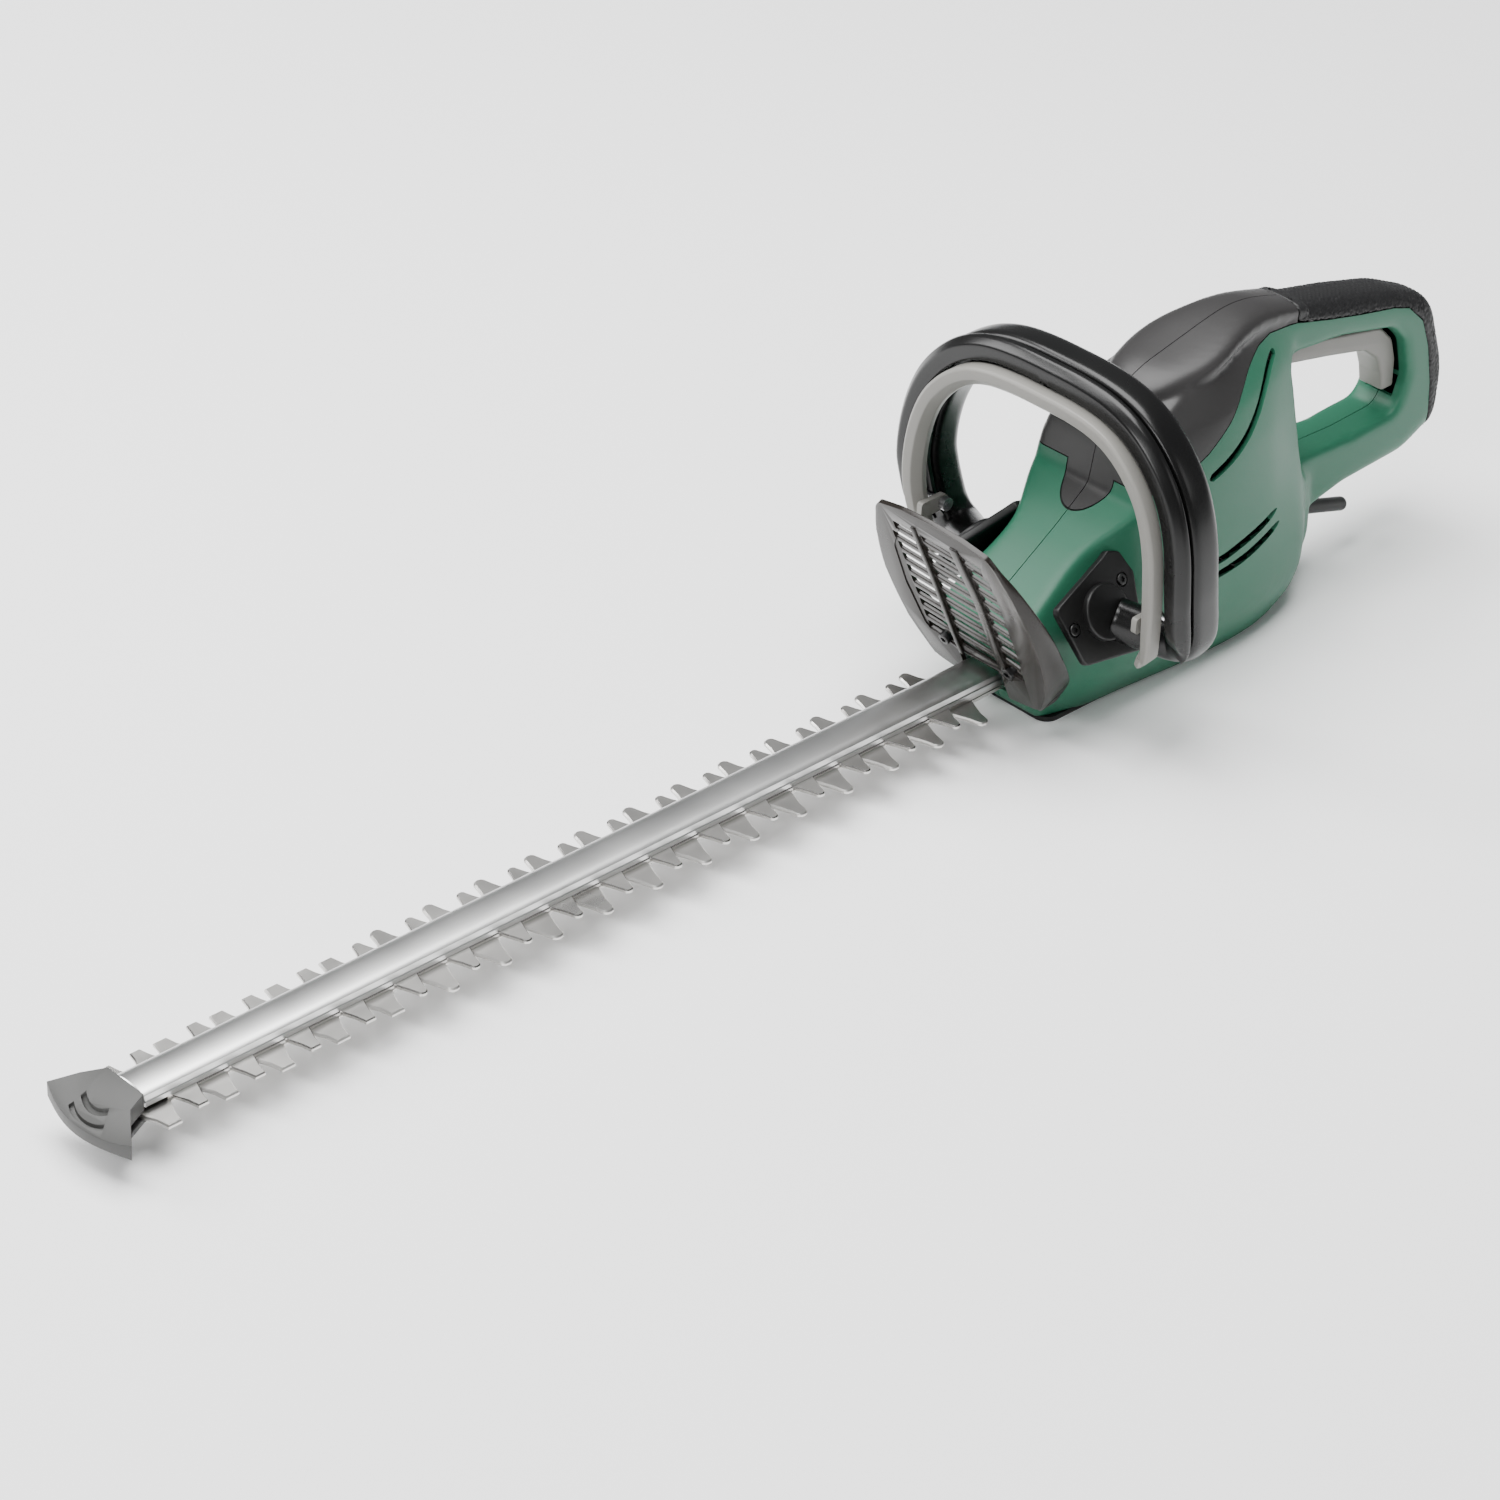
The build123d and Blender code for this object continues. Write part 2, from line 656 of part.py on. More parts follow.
# ---- front handle ----
def bail_face(inset, floor):
    """Region inside the bail's outline, inset from its outer edge and cut off at a floor height."""
    half_width = BAIL_HALF - inset
    rise = BAIL_TOP - BAIL_WAIST - inset
    arch = [(half_width * across, BAIL_WAIST + rise * up) for across, up in BAIL_ARCH]
    leg = [(0.975 * half_width, BAIL_WAIST - 32), (0.9 * half_width, BAIL_WAIST - 60)]
    right = arch + leg
    left = [(-y, z) for y, z in reversed(right[1:])]
    foot = Line(right[-1], left[0])
    face = make_face(Spline(*left, *right) + foot)
    return face - Pos(0, floor - 200) * Rectangle(400, 400)


def bail_band(outer_inset, inner_inset, x0, x1, floor):
    """Arched band between two insets of the bail's outline, between two X stations."""
    face = bail_face(outer_inset, floor) - bail_face(inner_inset, floor)
    plane = Plane(origin=(x0, 0, 0), x_dir=(0, 1, 0), z_dir=(1, 0, 0))
    return extrude(plane * face, x1 - x0)


def arm_line():
    """Ends of the left arm between side plate and bail."""
    return Vector(-88, -52, 67), Vector(-80.4, -95, 58)


def arm_solid(radius, sign):
    start, end = arm_line()
    along = end - start
    plane = Plane(origin=start, z_dir=along)
    arm = plane * (Pos(0, 0, along.length / 2) * Cylinder(radius, along.length))
    arm += Pos(end.X, end.Y, end.Z) * Sphere(radius)
    return arm if sign < 0 else mirror(arm, Plane.XZ)


def front_handle_rear_shell():
    shell = bail_band(0, BAIL_BAND, BAIL_SPLIT_X, BAIL_REAR_X, BAIL_FLOOR)
    rear_edges = shell.edges().group_by(Axis.X)[-1]
    shell = fillet(rear_edges.filter_by(lambda edge: edge.length > 100), 8)
    for sign in (-1, 1):
        shell += arm_solid(ARM_RADIUS, sign)
    x, z = LEVER_PIVOT
    shell -= both_sides(cross_rod(LEVER_PIN_RADIUS + 0.01, x, z, 60, 94))
    return shell - switch_pocket()


def switch_pocket():
    """Pocket in the top of the bail for the front switch."""
    return box(BAIL_SPLIT_X - 1, BAIL_REAR_X - 3, -13.2, 13.2, 187.8, 199.2)


def front_handle_front_shell():
    return bail_band(0, FRONT_SHELL_BAND, BAIL_FRONT_X, BAIL_SPLIT_X, BAIL_FLOOR + 4)


def front_switch_lever():
    lever = bail_band(LEVER_OUTER, LEVER_INNER, LEVER_FRONT_X, LEVER_REAR_X, BAIL_FLOOR + 2)
    x, z = LEVER_PIVOT
    ear = cross_rod(5, x, z, *LEVER_EAR) + box(LEVER_FRONT_X + 1, x, *LEVER_EAR, z - 5, z + 5)
    lever += both_sides(ear)
    return lever - cross_rod(LEVER_PIN_RADIUS + RUNNING, x, z, -90, 90)


def lever_pins():
    x, z = LEVER_PIVOT
    pin = cross_rod(LEVER_PIN_RADIUS, x, z, 74.2, 94)
    return both_sides(pin)


def lever_springs():
    x, z = LEVER_PIVOT
    coil = cross_rod(4.0, x, z, 74.6, 78.4) - cross_rod(LEVER_PIN_RADIUS + 0.3, x, z, 69, 80)
    return both_sides(coil)


def front_switch():
    body = box(BAIL_SPLIT_X + 3, BAIL_REAR_X - 4, -13, 13, 188, 199)
    return body - long_rod(2.1, BAIL_SPLIT_X, BAIL_SPLIT_X + 12, 0, 192)


def front_plunger():
    return long_rod(2.0, LEVER_REAR_X + 0.4, BAIL_SPLIT_X + 5, 0, 192)


def on_plate(solid):
    """Moves a solid from the side plate's own frame to its place on the left side."""
    x, y, z = PLATE_CENTRE
    return Pos(x, -y - 1, z) * Rot(-PLATE_TILT, 0, 0) * solid


def handle_plate(sign):
    """Slanted side plate that carries one end of the bail."""
    plate = side_prism([(-27, -20), (22, -26), (27, 16), (12, 26), (-20, 18), (-31, 2)], 2.5)
    plate += Rot(90, 0, 0) * Cylinder(17, 9)
    for x, z in plate_screw_places():
        plate -= Pos(x, 0, z) * Rot(90, 0, 0) * Cylinder(2.05, 30)
    plate = on_plate(plate) - arm_solid(ARM_RADIUS, -1)
    return plate if sign < 0 else mirror(plate, Plane.XZ)


def plate_screw_places():
    return [(-22, 0), (20, -20), (21, 14)]


def plate_screws():
    screw = Pos(0, -3.6, 0) * Rot(90, 0, 0) * Cylinder(3.0, 2) + Rot(90, 0, 0) * Cylinder(SMALL_BOLT, 5.2)
    return both_sides(together([on_plate(Pos(x, 0, z) * screw) for x, z in plate_screw_places()]))


# ---- rear trigger, switch, cable ----
def rear_trigger():
    """L-shaped trigger along the top and back of the hand opening."""
    points = [
        (80, 146), (130, 134), (166, 126), (177, 118), (182, 105), (184, 94), (194, 94), (193, 112),
        (188, 127), (176, 138), (130, 147), (92, 154), (82, 154),
    ]
    trigger = side_prism(points, TRIGGER_HALF)
    x, z = TRIGGER_PIVOT
    trigger -= rod(4.3, SPRING_FOOT, 160, SPRING_X)
    return trigger - cross_rod(2.0 + RUNNING, x, z, -20, 20)


def trigger_pin():
    x, z = TRIGGER_PIVOT
    return cross_rod(2.0, x, z, -13, 13)


def trigger_spring():
    """Return spring between trigger and handle, as a plain sleeve."""
    return ring(4.0, 2.8, SPRING_FOOT, 172.5, SPRING_X)


def rear_switch():
    body = box(134, 160, -12.3, 12.3, 154.5, 162)
    return body - rod(2.1, 152, 160, 140)


def rear_plunger():
    return rod(2.0, 146.2, 156, 140)


def sleeve_rod(radius, start=0.0, end=SLEEVE_LENGTH):
    plane = Plane(origin=SLEEVE_START, z_dir=SLEEVE_DIR)
    return plane * (Pos(0, 0, (start + end) / 2) * Cylinder(radius, end - start))


def cable_sleeve():
    return sleeve_rod(SLEEVE_RADIUS) - sleeve_rod(SLEEVE_BORE, -1, SLEEVE_LENGTH + 1)


def cable_clamp():
    return box(98, 106, -12, 12, 30, 46) - sleeve_rod(SLEEVE_RADIUS + RUNNING)


def clamp_screws():
    return both_sides(rod(1.5, 46, 50, 102, 9))


def capacitor():
    return box(8, 40, -9, 9, 6, 24)


def terminal_block():
    return box(60, 82, -8, 8, 34, 46)


# ---- every sub-part with a function of its own name ----
MAKERS = (
    comb_blade, cutter_blade, cutter_pin, blade_bar, blade_bolts, tip_guard, tip_guard_screw, drive_gear,
    gear_bush, gear_axle, connecting_rod, gearbox_housing, gearbox_bolts, blade_guide, clamp_block,
    tail_bolts, base_plate, base_screws, rotor_shaft, rotor_core, rotor_coils, commutator, cooling_fan,
    stator_core, stator_coils, upper_bearing, lower_bearing, bearing_bridge, brush_holders, carbon_brushes,
    brush_springs, air_baffle, housing_screws, hand_guard, guard_screws, front_handle_rear_shell,
    front_handle_front_shell, front_switch_lever, lever_pins, lever_springs, front_switch, front_plunger,
    plate_screws, rear_trigger, trigger_pin, trigger_spring, rear_switch, rear_plunger, cable_sleeve,
    cable_clamp, clamp_screws, capacitor, terminal_block,
)

build_housing()
for make in MAKERS:
    PARTS[make.__name__] = make()
for sign, side in ((-1, "left"), (1, "right")):
    PARTS["handle_plate_" + side] = handle_plate(sign)
os.makedirs("parts", exist_ok=True)
for name, solid in PARTS.items():
    export_step(solid, "parts/" + name + ".step")
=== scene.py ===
import math

import bpy
from bpy.props import FloatProperty, FloatVectorProperty, IntProperty, PointerProperty
from mathutils import Matrix, Vector


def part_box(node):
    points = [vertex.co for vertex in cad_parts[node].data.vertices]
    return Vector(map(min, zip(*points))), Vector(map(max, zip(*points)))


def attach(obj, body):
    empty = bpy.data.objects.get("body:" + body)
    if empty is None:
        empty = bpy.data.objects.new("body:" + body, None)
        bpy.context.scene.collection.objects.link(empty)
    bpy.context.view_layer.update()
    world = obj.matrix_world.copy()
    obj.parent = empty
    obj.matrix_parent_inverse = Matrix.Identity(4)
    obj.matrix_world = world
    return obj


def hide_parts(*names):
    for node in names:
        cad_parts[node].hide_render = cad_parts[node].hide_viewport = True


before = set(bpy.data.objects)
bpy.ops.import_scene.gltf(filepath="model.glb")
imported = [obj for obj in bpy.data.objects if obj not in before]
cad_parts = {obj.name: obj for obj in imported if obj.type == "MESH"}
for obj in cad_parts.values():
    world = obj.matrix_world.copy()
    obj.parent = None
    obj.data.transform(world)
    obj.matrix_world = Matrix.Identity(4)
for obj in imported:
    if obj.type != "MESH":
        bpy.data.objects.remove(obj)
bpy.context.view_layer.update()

bl_info = {
    "name": "Hedge Trimmer Looks",
    "version": (1, 0, 0),
    "blender": (4, 5, 0),
    "location": "3D View > Sidebar > Trimmer",
    "description": "Builds the visible pieces and finishes of a corded hedge trimmer around its packed frame",
    "category": "Mesh",
}

MM = 0.001

# ---- places taken from the frame, in millimetres ----


def box_mm(node):
    """Lowest and highest corner of a CAD node, in millimetres."""
    low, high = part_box(node)
    return [value / MM for value in low], [value / MM for value in high]


BAR_LOW, BAR_HIGH = box_mm("blade_bar")
COMB_LOW, COMB_HIGH = box_mm("comb_blade")
CUTTER_LOW, CUTTER_HIGH = box_mm("cutter_blade")
BAIL_LOW, BAIL_HIGH = box_mm("front_handle_rear_shell")
FRONT_SHELL_LOW, FRONT_SHELL_HIGH = box_mm("front_handle_front_shell")
LEVER_LOW = box_mm("front_switch_lever")[0]
TIP_LOW, TIP_HIGH = box_mm("tip_guard")
SLEEVE_LOW, SLEEVE_HIGH = box_mm("cable_sleeve")
BASE_LOW, BASE_HIGH = box_mm("base_plate")

TOOTH_PITCH = 34.0
FIRST_TOOTH_X = COMB_LOW[0] + 9.0
CUTTER_TOOTH_X = CUTTER_LOW[0] + 9.0
BAIL_HALF = 0.5 * (BAIL_HIGH[1] - BAIL_LOW[1])
BAIL_TOP = BAIL_HIGH[2]
BAIL_WAIST = 110.0
BAIL_ARCH = ((0, 1), (0.215, 0.995), (0.41, 0.965), (0.58, 0.893), (0.725, 0.775), (0.85, 0.61), (0.93, 0.43),
             (0.98, 0.22), (1, 0))
LEVER_PIVOT = (-89.0, 82.0)
BAR_HALF = 12.2
# The handle's lower corner: its centre's Y and Z, and its outer radius.
CORNER = (73.0, 80.0, 34.0)
ARM_ROOT = (-88.0, 50.0, 67.0)
LEG_LEAN = 11.0
GUARD_LEAN = math.atan(0.46)
GUARD_FOOT_X = -121.0


# ---- modelling helpers ----


def clear_selection():
    if bpy.context.object and bpy.context.object.mode != "OBJECT":
        bpy.ops.object.mode_set(mode="OBJECT")
    bpy.ops.object.select_all(action="DESELECT")


def activate(piece):
    clear_selection()
    piece.select_set(True)
    bpy.context.view_layer.objects.active = piece


def modify(piece, kind, **settings):
    """Adds a modifier with these settings and applies it."""
    activate(piece)
    modifier = piece.modifiers.new(kind.lower(), kind)
    for key, value in settings.items():
        setattr(modifier, key, value)
    bpy.ops.object.modifier_apply(modifier=modifier.name)


def set_points(piece, points):
    """Moves a mesh's vertices to these points, given in millimetres."""
    flat = [value * MM for point in points for value in point]
    piece.data.vertices.foreach_set("co", flat)
    piece.data.update()


def skin(name, rings, closed=False):
    """Lofts a grid over rings of equal count, welds its seam and fills its ends."""
    around = len(rings[0])
    rows = list(rings) + ([rings[0]] if closed else [])
    clear_selection()
    bpy.ops.mesh.primitive_grid_add(x_subdivisions=around, y_subdivisions=len(rows) - 1, size=1)
    piece = bpy.context.object
    piece.name = name
    set_points(piece, [ring[column % around] for ring in rows for column in range(around + 1)])
    bpy.ops.object.mode_set(mode="EDIT")
    bpy.ops.mesh.select_all(action="SELECT")
    bpy.ops.mesh.remove_doubles(threshold=0.00002)
    bpy.ops.mesh.select_all(action="SELECT")
    bpy.ops.mesh.fill_holes(sides=0)
    bpy.ops.mesh.select_all(action="SELECT")
    bpy.ops.mesh.normals_make_consistent(inside=False)
    bpy.ops.object.mode_set(mode="OBJECT")
    return piece


def side_prism(name, outline, y0, y1):
    """Side outline in X and Z between two Y planes."""
    return skin(name, [[(x, y, z) for x, z in outline] for y in (y0, y1)])


def plan_prism(name, outline, z0, z1):
    """Plan outline in X and Y between two heights."""
    return skin(name, [[(x, y, z) for x, y in outline] for z in (z0, z1)])


def block(name, low, high):
    """Box between two corners."""
    outline = [(low[0], low[1]), (high[0], low[1]), (high[0], high[1]), (low[0], high[1])]
    return plan_prism(name, outline, low[2], high[2])


def rod(name, start, end, radius, sides=32, end_radius=None):
    """Round bar between two points."""
    axis = Vector(end) - Vector(start)
    turn = axis.to_track_quat("Z", "Y")
    rings = []
    for centre, size in ((start, radius), (end, radius if end_radius is None else end_radius)):
        ring = []
        for step in range(sides):
            angle = 2 * math.pi * step / sides
            ring.append(Vector(centre) + turn @ Vector((size * math.cos(angle), size * math.sin(angle), 0)))
        rings.append(ring)
    return skin(name, rings)


def rounded(points, radius, steps=5):
    """Closed outline with its corners replaced by arcs. A point may carry its own radius as a third value."""
    out = []
    count = len(points)
    for index in range(count):
        here = Vector(points[index][:2])
        size = points[index][2] if len(points[index]) > 2 else radius
        before = Vector(points[index - 1][:2]) - here
        after = Vector(points[(index + 1) % count][:2]) - here
        if size <= 0:
            out.append(tuple(here))
            continue
        turn = before.angle(after) / 2
        reach = min(size / math.tan(turn), 0.48 * before.length, 0.48 * after.length)
        size = reach * math.tan(turn)
        centre = here + (before.normalized() + after.normalized()).normalized() * (size / math.sin(turn))
        first = here + before.normalized() * reach - centre
        last = here + after.normalized() * reach - centre
        sweep = first.angle_signed(last)
        for step in range(steps + 1):
            spin = -sweep * step / steps
            point = centre + Vector((first.x * math.cos(spin) - first.y * math.sin(spin),
                                     first.x * math.sin(spin) + first.y * math.cos(spin)))
            out.append(tuple(point))
    return out


def curve_through(points, per_span=8):
    """Smooth open curve through points, by Catmull-Rom spans."""
    points = [Vector(point) for point in points]
    ends = [2 * points[0] - points[1]] + points + [2 * points[-1] - points[-2]]
    out = []
    for index in range(1, len(ends) - 2):
        p0, p1, p2, p3 = ends[index - 1:index + 3]
        for step in range(per_span):
            t = step / per_span
            out.append(0.5 * (2 * p1 + (p2 - p0) * t + (2 * p0 - 5 * p1 + 4 * p2 - p3) * t * t
                              + (3 * p1 - p0 - 3 * p2 + p3) * t ** 3))
    out.append(points[-1])
    return out


def duplicate(piece, name):
    copy = piece.copy()
    copy.data = piece.data.copy()
    copy.name = name
    bpy.context.collection.objects.link(copy)
    return copy


def mirrored(piece, name):
    """Copy on the other side of the middle plane, with its faces turned outwards."""
    copy = duplicate(piece, name)
    copy.data.transform(Matrix.Diagonal((1, -1, 1, 1)))
    copy.data.flip_normals()
    return copy


def join(name, pieces):
    clear_selection()
    for piece in pieces:
        piece.select_set(True)
    bpy.context.view_layer.objects.active = pieces[0]
    if len(pieces) > 1:
        bpy.ops.object.join()
    pieces[0].name = name
    return pieces[0]


def boolean(piece, cutter, operation="DIFFERENCE", keep=False, solver="MANIFOLD"):
    modify(piece, "BOOLEAN", object=cutter, operation=operation, solver=solver)
    if not keep:
        bpy.data.objects.remove(cutter)


def bevel(piece, width, segments=3, angle=40):
    modify(piece, "BEVEL", width=width * MM, segments=segments, limit_method="ANGLE",
           angle_limit=math.radians(angle), use_clamp_overlap=True, harden_normals=False)


def remesh_smooth(piece, voxel, rounds):
    modify(piece, "REMESH", mode="VOXEL", voxel_size=voxel * MM)
    if rounds:
        modify(piece, "SMOOTH", factor=0.5, iterations=rounds)


def keep_side(piece, y, keep_low):
    """Cuts a closed mesh at Y = y and leaves it open there."""
    activate(piece)
    bpy.ops.object.mode_set(mode="EDIT")
    bpy.ops.mesh.select_all(action="SELECT")
    bpy.ops.mesh.bisect(plane_co=(0, y * MM, 0), plane_no=(0, 1, 0), clear_outer=keep_low,
                        clear_inner=not keep_low)
    bpy.ops.object.mode_set(mode="OBJECT")


def drop_cut_faces(piece, index):
    """Deletes the faces that a cutter with this material index left behind."""
    activate(piece)
    piece.data.polygons.foreach_set("select", [face.material_index == index for face in piece.data.polygons])
    bpy.ops.object.mode_set(mode="EDIT")
    bpy.ops.mesh.select_mode(type="FACE")
    bpy.ops.mesh.delete(type="FACE")
    bpy.ops.mesh.select_all(action="SELECT")
    bpy.ops.mesh.delete_loose(use_verts=True, use_edges=True, use_faces=False)
    bpy.ops.object.mode_set(mode="OBJECT")


def shell(piece, thickness):
    modify(piece, "SOLIDIFY", thickness=thickness * MM, offset=-1, use_rim=True)


def sculpt(piece, move):
    """Moves each vertex along its normal by move(x, y, z, normal), all in millimetres."""
    for vertex in piece.data.vertices:
        point = vertex.co / MM
        amount = move(point.x, point.y, point.z, vertex.normal)
        if amount:
            vertex.co += vertex.normal * amount * MM
    piece.data.update()


def ease(low, high, value):
    """Smooth step from 0 at low to 1 at high."""
    t = min(1.0, max(0.0, (value - low) / (high - low)))
    return t * t * (3 - 2 * t)


def finish(piece, body, material, nodes=(), angle=35):
    """Smooth shading, finish, body, and the CAD nodes that the piece stands for."""
    activate(piece)
    bpy.ops.object.shade_smooth_by_angle(angle=math.radians(angle))
    if material:
        piece.data.materials.clear()
        piece.data.materials.append(material)
        piece.data.polygons.foreach_set("material_index", [0] * len(piece.data.polygons))
    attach(piece, body)
    if nodes:
        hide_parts(*nodes)
    return piece


# ---- shader groups and finishes ----


def new_group(name, inputs, outputs):
    """Empty shader node group with named sockets."""
    group = bpy.data.node_groups.new(name, "ShaderNodeTree")
    for label, value in inputs:
        socket = group.interface.new_socket(name=label, in_out="INPUT", socket_type="NodeSocketFloat")
        socket.default_value = value
    for label, kind in outputs:
        group.interface.new_socket(name=label, in_out="OUTPUT", socket_type=kind)
    return group


def chain(group, kind, **links):
    """Adds a node and links or sets its inputs by name."""
    node = group.nodes.new(kind)
    for key, value in links.items():
        if key.startswith("set_"):
            setattr(node, key[4:], value)
            continue
        socket = node.inputs[int(key[1:])] if key[0] == "i" and key[1:].isdigit() else node.inputs[key]
        if isinstance(value, bpy.types.NodeSocket):
            group.links.new(value, socket)
        else:
            socket.default_value = value
    return node


def grain_group():
    """Fine moulded grain: cells over soft noise, with a slow drift for colour and gloss."""
    group = new_group("moulded_grain", [("Scale", 900.0), ("Drift", 12.0)],
                      [("Height", "NodeSocketFloat"), ("Tone", "NodeSocketFloat")])
    nodes = group.nodes
    entry = nodes.new("NodeGroupInput")
    out = nodes.new("NodeGroupOutput")
    place = nodes.new("ShaderNodeTexCoord")
    cells = chain(group, "ShaderNodeTexVoronoi", Vector=place.outputs["Object"], Scale=entry.outputs["Scale"],
                  set_feature="SMOOTH_F1", Smoothness=0.6)
    noise = chain(group, "ShaderNodeTexNoise", Vector=place.outputs["Object"], Scale=entry.outputs["Scale"],
                  Detail=3.0, Roughness=0.6)
    height = chain(group, "ShaderNodeMath", set_operation="ADD", i0=cells.outputs["Distance"],
                   i1=noise.outputs["Fac"])
    drift = chain(group, "ShaderNodeTexNoise", Vector=place.outputs["Object"], Scale=entry.outputs["Drift"],
                  Detail=5.0, Roughness=0.55)
    group.links.new(height.outputs[0], out.inputs["Height"])
    group.links.new(drift.outputs["Fac"], out.inputs["Tone"])
    return group


def brushed_group():
    """Fine lines along X, as on rolled, drawn or ground metal."""
    group = new_group("drawn_lines", [("Scale", 700.0), ("Stretch", 0.02), ("Drift", 18.0)],
                      [("Height", "NodeSocketFloat"), ("Tone", "NodeSocketFloat")])
    nodes = group.nodes
    entry = nodes.new("NodeGroupInput")
    out = nodes.new("NodeGroupOutput")
    place = nodes.new("ShaderNodeTexCoord")
    parts = chain(group, "ShaderNodeSeparateXYZ", Vector=place.outputs["Object"])
    along = chain(group, "ShaderNodeMath", set_operation="MULTIPLY", i0=parts.outputs["X"],
                  i1=entry.outputs["Stretch"])
    lines = chain(group, "ShaderNodeCombineXYZ", X=along.outputs[0], Y=parts.outputs["Y"], Z=parts.outputs["Z"])
    noise = chain(group, "ShaderNodeTexNoise", Vector=lines.outputs["Vector"], Scale=entry.outputs["Scale"],
                  Detail=4.0, Roughness=0.65)
    drift = chain(group, "ShaderNodeTexNoise", Vector=place.outputs["Object"], Scale=entry.outputs["Drift"],
                  Detail=4.0, Roughness=0.6)
    group.links.new(noise.outputs["Fac"], out.inputs["Height"])
    group.links.new(drift.outputs["Fac"], out.inputs["Tone"])
    return group


def wear_group():
    """Mask of rubbed edges, from how sharply the surface turns, broken up by noise."""
    group = new_group("rubbed_edges", [("Amount", 1.0), ("Scale", 220.0)], [("Mask", "NodeSocketFloat")])
    nodes = group.nodes
    entry = nodes.new("NodeGroupInput")
    out = nodes.new("NodeGroupOutput")
    place = nodes.new("ShaderNodeTexCoord")
    geometry = nodes.new("ShaderNodeNewGeometry")
    ridge = chain(group, "ShaderNodeMapRange", Value=geometry.outputs["Pointiness"])
    ridge.inputs["From Min"].default_value = 0.53
    ridge.inputs["From Max"].default_value = 0.62
    noise = chain(group, "ShaderNodeTexNoise", Vector=place.outputs["Object"], Scale=entry.outputs["Scale"],
                  Detail=4.0)
    broken = chain(group, "ShaderNodeMath", set_operation="MULTIPLY", i0=ridge.outputs["Result"],
                   i1=noise.outputs["Fac"])
    mask = chain(group, "ShaderNodeMath", set_operation="MULTIPLY", i0=broken.outputs[0],
                 i1=entry.outputs["Amount"], set_use_clamp=True)
    group.links.new(mask.outputs[0], out.inputs["Mask"])
    return group


GROUPS = {}
FINISHES = {}


def shared_group(name, build):
    if name not in GROUPS:
        GROUPS[name] = build()
    return GROUPS[name]


def surface(name, color, roughness, metallic=0.0, coat=0.0, pattern="grain", scale=900.0, depth=0.04,
            tone=0.12, gloss=0.08, wear=0.3, specular=0.36, stretch=0.02):
    """Finish with a patterned height, slow colour and gloss drift, and lighter rubbed edges."""
    if name in FINISHES:
        return FINISHES[name]
    material = bpy.data.materials.new(name)
    material.use_nodes = True
    tree = material.node_tree
    shader = tree.nodes["Principled BSDF"]
    if pattern == "grain":
        base = chain(tree, "ShaderNodeGroup", set_node_tree=shared_group("grain", grain_group), Scale=scale)
    else:
        base = chain(tree, "ShaderNodeGroup", set_node_tree=shared_group("brushed", brushed_group), Scale=scale,
                     Stretch=stretch)
    edges = chain(tree, "ShaderNodeGroup", set_node_tree=shared_group("wear", wear_group), Amount=wear)
    darker = [channel * (1 - tone) for channel in color] + [1]
    lighter = [min(1.0, channel * (1 + tone)) for channel in color] + [1]
    drift = chain(tree, "ShaderNodeMix", set_data_type="RGBA", i0=base.outputs["Tone"], i6=darker, i7=lighter)
    rubbed = [min(1.0, channel * 1.4 + 0.01) for channel in color] + [1]
    worn = chain(tree, "ShaderNodeMix", set_data_type="RGBA", i0=edges.outputs["Mask"], i6=drift.outputs[2],
                 i7=rubbed)
    tree.links.new(worn.outputs[2], shader.inputs["Base Color"])
    rough = chain(tree, "ShaderNodeMapRange", Value=base.outputs["Tone"])
    rough.inputs["To Min"].default_value = max(0.02, roughness - gloss)
    rough.inputs["To Max"].default_value = min(1.0, roughness + gloss)
    tree.links.new(rough.outputs["Result"], shader.inputs["Roughness"])
    bump = chain(tree, "ShaderNodeBump", Height=base.outputs["Height"], Strength=0.35, Distance=depth * MM)
    tree.links.new(bump.outputs["Normal"], shader.inputs["Normal"])
    shader.inputs["Metallic"].default_value = metallic
    shader.inputs["Coat Weight"].default_value = coat
    shader.inputs["Specular IOR Level"].default_value = specular
    FINISHES[name] = material
    return material


def colour(name):
    """Colour set in the sidebar."""
    return tuple(getattr(bpy.context.scene.trimmer_finish, name))


def green_plastic():
    return surface("green_plastic", colour("housing_green"), 0.42, scale=1500.0, depth=0.05, tone=0.07, wear=0.12)


def black_plastic():
    return surface("black_plastic", colour("plastic_black"), 0.42, scale=1300.0, depth=0.04, wear=0.3)


def hood_plastic():
    return surface("hood_plastic", colour("hood_grey"), 0.38, scale=1500.0, depth=0.03, tone=0.1, wear=0.1)


def handle_black():
    return surface("handle_black", colour("handle_black"), 0.27, scale=1700.0, depth=0.02, wear=0.15)


def lever_grey():
    return surface("lever_grey", colour("lever_grey"), 0.4, scale=1700.0, depth=0.02, tone=0.05, wear=0.1)


def tip_grey():
    return surface("tip_grey", colour("tip_grey"), 0.45, scale=1500.0, depth=0.03, wear=0.4)


def guard_brown():
    return surface("guard_brown", colour("guard_brown"), 0.26, scale=1700.0, depth=0.012, tone=0.15, wear=0.3)


def grip_rubber():
    return surface("grip_rubber", colour("grip_black"), 0.5, scale=1100.0, depth=0.04, wear=0.5)


def bar_aluminium():
    return surface("bar_aluminium", (0.66, 0.66, 0.65), 0.3, metallic=1.0, pattern="lines", scale=900.0,
                   depth=0.012, tone=0.05, gloss=0.06, wear=0.2)


def blade_steel():
    return surface("blade_steel", (0.56, 0.55, 0.53), 0.3, metallic=1.0, pattern="lines", scale=600.0, depth=0.02,
                   tone=0.12, gloss=0.1, wear=0.3, stretch=0.15)


def ground_steel():
    return surface("ground_steel", (0.30, 0.29, 0.28), 0.26, metallic=1.0, pattern="lines", scale=1500.0,
                   depth=0.02, tone=0.15, wear=0.4, stretch=0.4)


